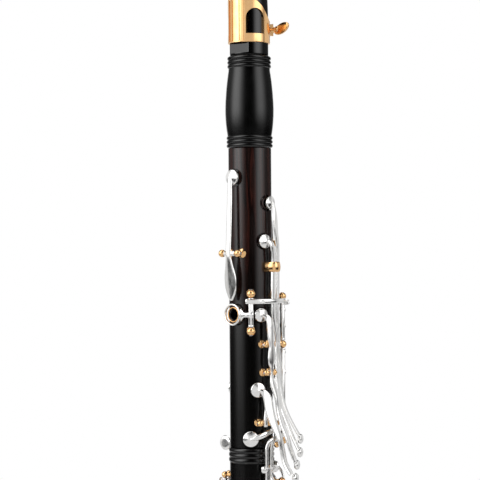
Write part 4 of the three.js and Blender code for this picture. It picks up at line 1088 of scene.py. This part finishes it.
def thumb_ring_key():
    """The cross arm that reaches the index ring carries its adjusting screw."""
    cross = 430.8
    heads = [slotted_head(polar(angle, radius, cross), outward(angle), 1.25)
             for angle, radius in ((64.8, 24.05), (96, 24.1))]
    cross_arm = [(36, 22.8, 3.4), (44, 22.95, 3.4), (60, 23.1, 3.3), (76, 23.4, 3.2), (92, 23.5, 3.2),
                 (108, 23.5, 3.2), (128, 23.3, 3.2)]
    ring_arm = [(46, 22.0, 4.4), (38, 21.2, 3.4), (31, 19.8, 3.8), (26.6, 18.8, 5.6), (22.6, 18.1, 8.8)]
    key("thumb_ring_key", [
        finger_ring(0, THUMB_HOLE, 6.1, 7.65, 17.3, 1.6), along_tube("thumb_ring", 410.5, 435.9),
        level_lever(THUMB_HOLE, ring_arm, 1.5, 3.2, 0.35), level_lever(cross, cross_arm, 1.35, 4.0, 0.15),
        tube(polar(44, 20.8, cross - 1.9), polar(44, 20.8, cross + 1.9), TUBE + 0.45), heads],
        corks=[(122, cross, 21.9, 2.6, 0.75)])
    needle_spring("thumb_ring", 410.5, 418.0)


def ring_with_vent(ring_height, vent_height):
    """Finger ring with its forked arm, and the vent pad above it."""
    vent_top = UPPER_RADIUS + 2 + 3.1
    return [
        finger_ring(180, ring_height, 6.35, 7.9, 16.7),
        lever([(138, 23.3, ring_height, 3.6), (146, 22.2, ring_height, 3.2), (152, 20.2, ring_height, 3.4),
               (157.5, 17.9, ring_height, 6.6)]),
        lever([(138, 23.3, vent_height - 1, 3.0), (155, 22.0, vent_height - 0.6, 2.9),
               (170, 20.6, vent_height - 0.2, 2.4), (180, vent_top, vent_height, 1.3)])]


def upper_stack_keys():
    key("index_ring_key", [
        along_tube("upper_stack", 400.3, 433.4), ring_with_vent(413, 425),
        lever([(141, 23.4, 428.8, 3.0), (134, 25.4, 429, 3.0), (126, 26.1, 429.6, 3.4)])],
        [(180, 425, 4.2, 2)])
    key("middle_ring_key", [
        along_tube("upper_stack", 334, 400.3), ring_with_vent(381, 396),
        lever([(141, 23.6, 339.5, 3.4), (125, 24, 339.5, 3.2), (108, 23.5, 339, 3.2), (96, 23, 338, 3.4),
               (86, 22.7, 337, 3.3), (77, 22.4, 335.6, 3.0), (72.2, 22.2, 332.4, 2.6),
               (71.4, 22.0, 325, 2.5), (71.4, 21.9, 317.5, 2.5)], 1.35, 4.0),
        lever([(86, 22.7, 337, 2.8), (82.4, 22.4, 333.6, 2.6), (81.4, 22.0, 326, 2.5),
               (81.4, 21.9, 317.5, 2.5)],
              1.35, 4.0)],
        [(180, 396, 4.2, 2)], [(81.4, 318.6, 20.2, 2.4)])
    needle_spring("upper_stack", 400.3, 408.5)
    key("e_flat_sliver_key", [
        along_tube("e_flat_sliver", 362, 378),
        lever([(231, 21.2, 370, 3.4), (252, 20.4, 370, 3.4), (265, 19.2, 370, 2.8), (275, 18.3, 370, 1.4)]),
        lever([(233, 21.2, 369.6, 3.6), (218, 19.9, 369.3, 3.8), (204, 18.9, 369, 4.2)]),
        touch(polar(200, 18.9, 369), outward(200), 7, 5.8)],
        [(275, 370, 4.6)])


def side_touch(angle, radius, height, facing_angle):
    """The round-ended touch of a side key, rolled over at its edge."""
    return touch(polar(angle, radius, height), outward(facing_angle), 6.4, 7.0, 2.6)


def trill_keys():
    key("side_c_trill_key", [
        across_tube("trill", 3.5, 6.2),
        lever([(102, 18.2, 498, 1.3), (102.2, 19.0, 494.6, 2.6), (103, 19.6, 490, 3.9),
               (104.2, 19.8, 484, 4.5), (106.6, 19.9, 476, 4.6), (112.2, 19.9, 468.6, 4.6),
               (113.5, 19.8, 460, 4.6), (113.5, 19.7, 440, 4.6), (113.5, 19.7, 424, 4.5),
               (114.6, 19.8, 413, 3.8), (115.5, 20.2, 406, 2.9), (115.5, 20.2, 397, 2.9),
               (118.5, 20.4, 386, 4.4), (118.5, 21, 370, 4.8), (120, 24, 357, 4.8), (120.5, 29.5, 345, 4.6),
               (121, 33.6, 338, 4.8)], 1.45),
        side_touch(121, 34.2, 336, 112)],
        [(102, 497.6, 4.8)])
    key("side_b_trill_key", [
        across_tube("trill", 0.1, 3.2),
        lever([(81, 18.2, 471.6, 1.3), (85.4, 19.0, 471, 2.8), (90.6, 19.5, 469.6, 4.0),
               (95.6, 19.6, 465.4, 4.6), (97, 19.5, 459, 4.3), (96.2, 19.5, 448, 4.3), (96, 19.5, 430, 4.4),
               (97.4, 19.5, 420, 4.3), (102, 19.5, 412.6, 3.6), (105.4, 19.5, 407, 2.9),
               (105.4, 19.5, 395, 2.8), (107, 19.8, 386, 4.2), (106.8, 20.4, 372, 4.7),
               (108, 22.8, 358, 4.8), (111, 26.5, 347, 4.8), (112, 31, 336, 4.8),
               (112, 34.6, 329, 4.8)], 1.45),
        side_touch(112, 35.4, 327.6, 106)],
        [(81, 471.4, 4.8)])


def side_keys():
    key("side_f_sharp_key", [
        across_tube("side_f_sharp", -1.25, 1.25),
        lever([(69, 18.2, 421.3, 1.3), (73, 19.2, 420.6, 2.8), (77.6, 20.2, 419.6, 4.2),
               (81.4, 20.9, 416.4, 5.6), (82.2, 21.2, 411, 5.8), (82.6, 21.4, 405, 5.4),
               (84, 21.5, 400, 4.6), (83.6, 21.5, 395, 5.4), (83.6, 21.4, 389, 5.4), (85, 21.0, 384.6, 2.6),
               (85, 21.0, 379.6, 2.6), (87.5, 21.3, 374, 4.8), (94.5, 22.4, 366, 5.2),
               (97.4, 23.4, 355, 5.2), (98.6, 25.4, 347, 5.1), (101.5, 28, 339.5, 5.1),
               (106, 29.9, 330, 5.1), (112, 32, 321, 5.0)], 1.45),
        side_touch(116, 32.4, 318.6, 108)],
        [(69, 421.2, 4.8)])
    key("side_e_flat_key", [
        across_tube("side_e_flat", -1.35, 1.35),
        lever([(60, 18.2, 370.5, 1.3), (64, 19.3, 370, 2.8), (69.6, 20.2, 368.6, 4.6),
               (75.4, 21.0, 364.4, 6.8), (77.6, 21.8, 358, 7.2), (80.5, 23.4, 351, 6.4),
               (84.6, 25, 344.6, 5.4), (90, 26.4, 338, 5.2), (94, 27.0, 330, 5.2), (97.4, 28.4, 320, 5.2),
               (101, 31.4, 313.4, 5.0)], 1.45),
        lever([(70.7, 21.3, 346.2, 3.0), (70.9, 21.4, 350, 3.2), (73.5, 21.3, 356, 3.8),
               (76, 21.2, 362, 4.6)], 1.4),
        side_touch(106, 33.4, 310.4, 100)],
        [(60, 370.3, 5.1)])


def c_sharp_g_sharp_key():
    key("c_sharp_g_sharp_key", [
        along_tube("c_sharp_g_sharp", 332.6, 347),
        lever([(42, 18.3, 337, 1.3), (50, 19.2, 337.8, 2.6), (58, 19.6, 338.7, 3.6), (72, 19.6, 340.4, 3.5),
               (88, 19.6, 342.4, 3.3), (102, 20.4, 343, 3.3)], 1.4),
        lever([(105, 19.4, 340, 3), (118, 18.7, 341, 3), (134, 18.6, 341.5, 3), (150, 18.6, 341.4, 3),
               (166, 18.6, 340.6, 3), (182, 18.6, 339.4, 3), (198, 18.6, 338, 3), (214, 18.6, 336.6, 3),
               (230, 18.6, 335, 3), (246, 18.6, 333.4, 3), (262, 18.8, 332, 3.4),
               (278, 20, 331, 4.6)], 1.3),
        touch(Vector((22.2, 3.2, 331)), -Y, 10.6, 10.4, 1.7)],
        [(42, 337, 5.35)])


def trill_guide():
    """A gold saddle over the side B lever, with rounded cheeks let into the wood."""
    height, half = 454.0, 3.4
    path = [(84, 14.2), (85.2, 17), (86.6, 20.6), (89.6, 22.8), (95.6, 23.5), (101.4, 23.2), (104.2, 22.0),
            (104.7, 18), (104.9, 14.2)]
    saddle = lever([(angle, radius, height, half * 2) for angle, radius in path], 0.9, 3.0, 0.45, 0.8)
    piece("trill_guide_saddle", "gold", "joints", [saddle], "trill_guide")


# ---------------------------------------------------------------- lower joint keys

def lower_ring_key():
    """Three finger rings on one tube, their vent pad, and the bridge lever for the upper joint."""
    rings = []
    for _, height, _ in LOWER_FINGER_HOLES:
        root = min(height, 300)
        arm = [(120, 22.4, root, 3.6), (132, 21.7, root * 0.6 + height * 0.4, 3.2),
               (146, 20.0, height, 3.4), (156.2, 17.9, height, 6.6)]
        rings += [finger_ring(180, height, 6.35, 7.9, 16.8), lever(arm)]
    bridge_bolt = rod(polar(72, 21.2, 316.5), polar(72, 17.6, 316.5), 1.2)
    key("lower_ring_key", [
        along_tube("lower_stack", 251.5, 307), rings,
        lever([(121, 22.4, 301.5, 3.2), (135, 22.2, 304, 3), (148, 21.4, 311.5, 2.6),
               (160, 20.1, 315.3, 1.3)]),
        lever([(122, 22.5, 301, 3.3), (106, 21.6, 302.5, 3.3), (92, 20.6, 306, 3.6), (83, 19.6, 311, 4.4),
               (80, 19.4, 316.5, 5.0)], 1.4),
        lever([(65, 19.5, 316.5, 4.6), (72, 19.5, 316.5, 5.2), (88, 19.5, 316.5, 5.2),
               (98, 19.5, 316.5, 4.8), (104.5, 19.5, 316.5, 4.0)], 1.6, 4.0),
        lever([(79, 19.6, 318, 4.8), (79, 19.5, 308, 5.2), (79, 19.4, 298, 4.8), (79, 19.3, 288.5, 3.6)],
              1.4, 3.6),
        bridge_bolt],
        [(160, 315.2, 4.1, 2)])
    needle_spring("lower_stack", 251.5, 261)


def f_sharp_sliver_key():
    key("f_sharp_sliver_key", [
        along_tube("f_sharp_sliver", 263, 276.5),
        lever([(147, 17.8, 270, 3.2), (134, 17.5, 270, 3.2), (118, 17.6, 270, 3.2), (108, 18.0, 270, 2.6),
               (98, 18.4, 270, 1.3)], 1.15),
        lever([(147, 20.1, 269.6, 3.6), (154, 19.8, 269.6, 3.8), (161, 19.3, 269.6, 4.6)]),
        touch(polar(162, 19.2, 269.6), outward(162), 5.4, 6.8)],
        [(98, 270, 4.3)])


def low_key(name, hinge, pad_height, pad_radius, tail, crossed, touch_root, touch_place):
    """An open-standing low key: pad, arm from its rod, and the tail that its left lever presses."""
    angle, radius, heights, _ = ALONG[hinge]
    outside = radius + TUBE * 0.8
    top = lower_radius(pad_height) + OPEN_PAD + 3.15
    over = radius + 4.4
    tubes = [along_tube(hinge, low, high) for low, high in zip(heights, heights[1:])]
    yoke = ((-5.2, 1.4), (-3.8, 3.0), (0, 3.5), (3.8, 3.0), (5.2, 1.4))     # steps over a middle post
    yokes = [lever([(angle, radius + rise, z + shift, 3.2) for shift, rise in yoke], 1.2)
             for z in heights[1:-1]]
    tail_path = [(angle, outside, 2.9), *[(turn, over, 2.8) for turn in crossed]]
    tail_path += [(160, 20.8, 2.8), (180, 20.5, 2.8), (198, 20.5, 2.8), (216, 20.5, 3.2)]
    key(name, [
        tubes, yokes,
        lever([(angle, outside, pad_height, 4.2), ((angle + 180) / 2, top + 0.7, pad_height, 3.9),
               (167, top + 0.1, pad_height, 3.4), (180, top - 0.1, pad_height, 1.8)], 1.6),
        level_lever(tail, tail_path, 1.3),
        rod(polar(*touch_root), polar(*touch_place), 1.5),
        touch(polar(*touch_place), outward(touch_place[0]), 8.2, 9.4, 1.7)],
        [(180, pad_height, pad_radius, OPEN_PAD)], [(213, tail, 19.0, 2.6, 0.8)])


def low_keys():
    low_key("low_e_key", "low_e", 138, 8.0, 242, (112, 126, 142), (138, 25.9, 242.3), (138, 29.8, 241.2))
    low_key("low_f_sharp_key", "low_f_sharp", 167, 7.8, 238.5, (128, 142), (160, 20.8, 237.8),
            (160, 27.6, 238))
    low_key("low_f_key", "low_f", 196, 7.4, 235, (), (132.5, 22.6, 228), (138, 28.4, 227.5))
    key("a_flat_e_flat_key", [
        across_tube("a_flat_e_flat", -1.9, 1.9),
        lever([(158, 18.7, 208.8, 1.3), (158, 20.4, 211.5, 2.8), (158, 21.6, 215, 3.6),
               (158, 21.9, 219.5, 3.4), (159, 25.6, 228.4, 4.6)], 1.4),
        touch(polar(160, 26.3, 229), outward(160), 8.2, 8.6, 1.7)],
        [(158, 209.4, 5.6)])


def left_lever(name, hinge, arm, touch_place, foot, crossed):
    angle, radius, heights, _ = ALONG[hinge]
    outside = radius + TUBE * 0.8
    foot_path = [(angle, outside, 2.8), *[(turn, radius + 3.8, 2.8) for turn in crossed],
                 (244, 22.9, 2.8), (228, 22.6, 2.8), (210, 22.4, 3.2)]
    key(name, [
        along_tube(hinge, *heights),
        lever([(angle, outside, 288, 3.6), *arm]),
        touch(polar(*touch_place), outward(touch_place[0]), 7.2, 9.8),
        level_lever(foot, foot_path, 1.3)])


def left_levers():
    left_lever("left_e_lever", "left_e", [(289.5, 23.6, 293, 3.6), (286, 24.2, 300, 4.4)], (285, 24.4, 302.5),
               242, (284, 272, 258))
    left_lever("left_f_sharp_lever", "left_f_sharp", [(271, 23.6, 293, 3.6), (265, 24.2, 298, 4.4)],
               (263.5, 24.4, 300), 238.5, (268, 256))
    left_lever("left_f_lever", "left_f", [(253, 23.4, 289.6, 3.8), (245, 23.4, 292, 4.4)], (243, 23.4, 293),
               235, (253,))


# ---------------------------------------------------------------- thumb rest

REST_HEIGHT = 276.0
REST_SCREW = 272.0
REST_FACE = 17.3                 # where the sliding plate starts, and its thickness
REST_PLATE = 1.6


def thumb_rest():
    """A base curved to the wood, a forked plate that slides on it, a hook, and a clamping screw."""
    base = mesh_object("thumb_rest_base_plate", lever(
        [(angle, 16.0, REST_HEIGHT, 26) for angle in (-24, -12, 0, 12, 24)], 1.15, 8.0, 0.0))
    finished(base, "silver", "joints", "thumb_rest_base")
    corners = eased([(4.5, -12), (4.5, 12), (-4.5, 12), (-4.5, -12)], 1.8, True)
    plate = standing(prism([(x, y + REST_HEIGHT) for x, y in corners], 0, REST_PLATE), 0, 0, REST_FACE)
    hook_path = [(17.9, 284.2), (20.5, 284.9), (25.0, 285.3), (28.4, 285.6), (30.2, 286.4), (30.9, 288.2)]
    hook_shell = swept_flat(smooth_path([Vector((0, y, z, 13.0)) for y, z in hook_path], 0.8), 1.9)
    slot_half, slot_top, slot_foot = 1.55, REST_SCREW + 4.3, REST_SCREW - 12
    slot_cut = [(slot_half * x, slot_top + slot_half * y) for x, y in arc(0, math.pi, 8)]
    slot_cut += [(-slot_half, slot_foot), (slot_half, slot_foot)]
    slot = standing(prism(slot_cut, -2, 4), 0, 0, REST_FACE)
    rest = mesh_object("thumb_rest_hook", plate)
    worked(rest, ("UNION", [hook_shell]), ("DIFFERENCE", [slot]))
    finished(rest, "silver", "thumb_rest", "thumb_rest")
    cork_path = [Vector((0, y, z - 1.4, 11.6)) for y, z in hook_path[1:5]]
    piece("thumb_rest_cork", "cork", "thumb_rest", swept_flat(smooth_path(cork_path, 0.8), 0.8))
    face = REST_FACE + REST_PLATE + SKIN
    head = revolve(eased([(0, 0), (3.2, 0), (3.2, 1.3), (2.6, 1.8), (0, 1.9)], 0.4), 40)
    grips = [rod(Vector((3.05 * x, 3.05 * y, 0.1)), Vector((3.05 * x, 3.05 * y, 1.35)), 0.34, 8)
             for x, y in arc(0, 2 * math.pi, 20)[:-1]]
    shells = [standing(shell, 0, REST_SCREW, face) for shell in [head, *grips]]
    shells.append(rod(polar(0, 16.7, REST_SCREW), polar(0, face + 0.5, REST_SCREW), 1.4))
    piece("thumb_rest_screw_knob", "silver", "thumb_rest_screw", shells, "thumb_rest_screw")


# ---------------------------------------------------------------- floor, light and camera

CAMERA_ANGLE = 44.0              # where the camera stands round the body
CAMERA_DISTANCE = 1069.0
CAMERA_HEIGHT = 472.4
CAMERA_SIDESTEP = -7.1
CAMERA_ROLL = 0.37
LENS, SENSOR = 116.25, 36.0
TO_CAMERA = outward(CAMERA_ANGLE)
RIGHT = around(CAMERA_ANGLE)


def camera():
    data = bpy.data.cameras.new("camera")
    data.lens, data.sensor_width = LENS, SENSOR
    data.clip_start, data.clip_end = 0.01, 50
    obj = bpy.data.objects.new("camera", data)
    roll = math.radians(CAMERA_ROLL)
    up = Vector((0, 0, 1))
    side = RIGHT * math.cos(roll) - up * math.sin(roll)
    top = up * math.cos(roll) + RIGHT * math.sin(roll)
    place = TO_CAMERA * CAMERA_DISTANCE + RIGHT * CAMERA_SIDESTEP + up * CAMERA_HEIGHT
    obj.matrix_world = axes(side, top, TO_CAMERA, place * MM)
    bpy.context.scene.collection.objects.link(obj)
    bpy.context.scene.camera = obj


# Brightness of the studio round the object, by the angle from the camera towards its right: dark
# behind the camera, a tall narrow soft light on each side, and the white paper behind the object.
SOFT_BOXES = [
    (-180, 0.0), (-142, 0.0), (-134, 0.2), (-110, 0.25), (-98, 0.7), (-87, 2.2), (-76, 3.2), (-56, 3.2),
    (-46, 1.8), (-36, 0.8), (-27, 0.15), (-18, 0.0), (16, 0.0), (25, 0.15), (35, 1.2), (46, 2.2), (61, 2.3),
    (73, 1.4), (84, 0.5), (94, 0.15), (148, 0.08), (156, 0.0), (180, 0.0)]
PAPER = [
    (-180, 1.0), (-160, 0.9), (-148, 0.0), (152, 0.0), (164, 0.9), (180, 1.0)]
STUDIO_PEAK = 3.4
FADE = [(-0.2, 0.0), (-0.139, 0.0), (-0.105, 0.03), (-0.077, 0.1), (-0.045, 0.32), (-0.019, 0.6),
        (0.017, 1.0), (0.5, 1.0)]      # how the soft lights fade towards the floor, by the direction's height


def studio_world():
    world = bpy.data.worlds.new("studio")
    bpy.context.scene.world = world
    world.use_nodes = True
    tree = world.node_tree
    tree.nodes.clear()
    direction = add(tree, "TexCoord").outputs["Generated"]

    def along(axis):
        node = add(tree, "VectorMath", {0: direction, 1: tuple(axis)}, operation='DOT_PRODUCT')
        return node.outputs["Value"]

    def glow(stops, share, peak):
        return ramp(tree, share, [(where, level / peak) for where, level in stops])

    turn = add(tree, "Math", {0: along(RIGHT), 1: along(TO_CAMERA)}, operation='ARCTAN2').outputs["Value"]
    round_share = add(tree, "MapRange", {"Value": turn, "From Min": -math.pi, "From Max": math.pi})
    round_share = round_share.outputs["Result"]
    foot, crown = FADE[0][0], FADE[-1][0]
    rise = add(tree, "MapRange", {"Value": along(Vector((0, 0, 1))), "From Min": foot, "From Max": crown})
    boxes = glow([((angle + 180) / 360, level) for angle, level in SOFT_BOXES], round_share, STUDIO_PEAK)
    fade = glow([((height - foot) / (crown - foot), level) for height, level in FADE],
                rise.outputs["Result"], 1.0)
    lit = add(tree, "VectorMath", {0: boxes, 1: fade}, operation='MULTIPLY').outputs["Vector"]
    backdrop = glow([((angle + 180) / 360, level) for angle, level in PAPER], round_share, 1.0)
    soft_boxes = add(tree, "Background", {"Color": lit, "Strength": STUDIO_PEAK})
    white = add(tree, "Background", {"Color": backdrop, "Strength": 1.0})
    studio = add(tree, "AddShader", {0: soft_boxes.outputs[0], 1: white.outputs[0]})
    paper = add(tree, "Background", {"Color": (1, 1, 1, 1), "Strength": 1.0})
    seen = add(tree, "LightPath").outputs["Is Camera Ray"]
    shader = add(tree, "MixShader", {0: seen, 1: studio.outputs[0], 2: paper.outputs[0]})
    output = add(tree, "OutputWorld", {"Surface": shader.outputs[0]})
    output.is_active_output = True


def soft_light(name, angle, distance, height, width, tall, radiance, receivers=None):
    """A soft rectangular light, `angle` round from the camera, that looks at the instrument's middle."""
    data = bpy.data.lights.new(name, 'AREA')
    data.shape = 'RECTANGLE'
    data.size, data.size_y = width * MM, tall * MM
    data.energy = radiance * math.pi * data.size * data.size_y
    obj = bpy.data.objects.new(name, data)
    away = outward(CAMERA_ANGLE + angle)
    obj.matrix_world = axes(around(CAMERA_ANGLE + angle), Vector((0, 0, 1)), away,
                            (away * distance + Vector((0, 0, height))) * MM)
    obj.visible_camera = False
    bpy.context.scene.collection.objects.link(obj)
    if receivers:
        obj.light_linking.receiver_collection = receivers


def floor():
    """A pale round floor under the bell, too small to reach into the main view."""
    shell = revolve([(0, -6), (1300, -6), (1300, -0.5), (0, -0.5)], 160)
    obj = mesh_object("floor", [shell])
    material, tree, shader = node_material("floor_paper")
    speckle = noise(tree, (300, 300, 300), 3.0)
    set_inputs(tree, shader, Base_Color=ramp(tree, speckle, [(0.3, 0.78), (0.7, 0.82)]), Roughness=0.7)
    obj.data.materials.append(material)


def stage():
    floor()
    studio_world()
    soft_light("front_fill", 0, 2400, 420, 3600, 2400, 0.72, METAL_PARTS)
    for side in (-1, 1):
        soft_light("side_fill", side * 122, 2400, 420, 2600, 2400, 0.62, METAL_PARTS)
    camera()
    view = bpy.context.scene.view_settings
    view.view_transform = 'Standard'
    view.look = 'None'


# ---------------------------------------------------------------- assembly

for build in (upper_joint, lower_joint, barrel, bell, corks, thumb_bushing, register_tube, mouthpiece, reed,
              ligature_band, ligature_screw, register_key, throat_keys, thumb_ring_key, upper_stack_keys,
              trill_keys, side_keys, c_sharp_g_sharp_key, trill_guide, lower_ring_key, f_sharp_sliver_key,
              low_keys, left_levers, thumb_rest):
    build()
for hinge_name in ALONG:
    along_posts(hinge_name)
for hinge_name in ACROSS:
    across_posts(hinge_name)
stage()
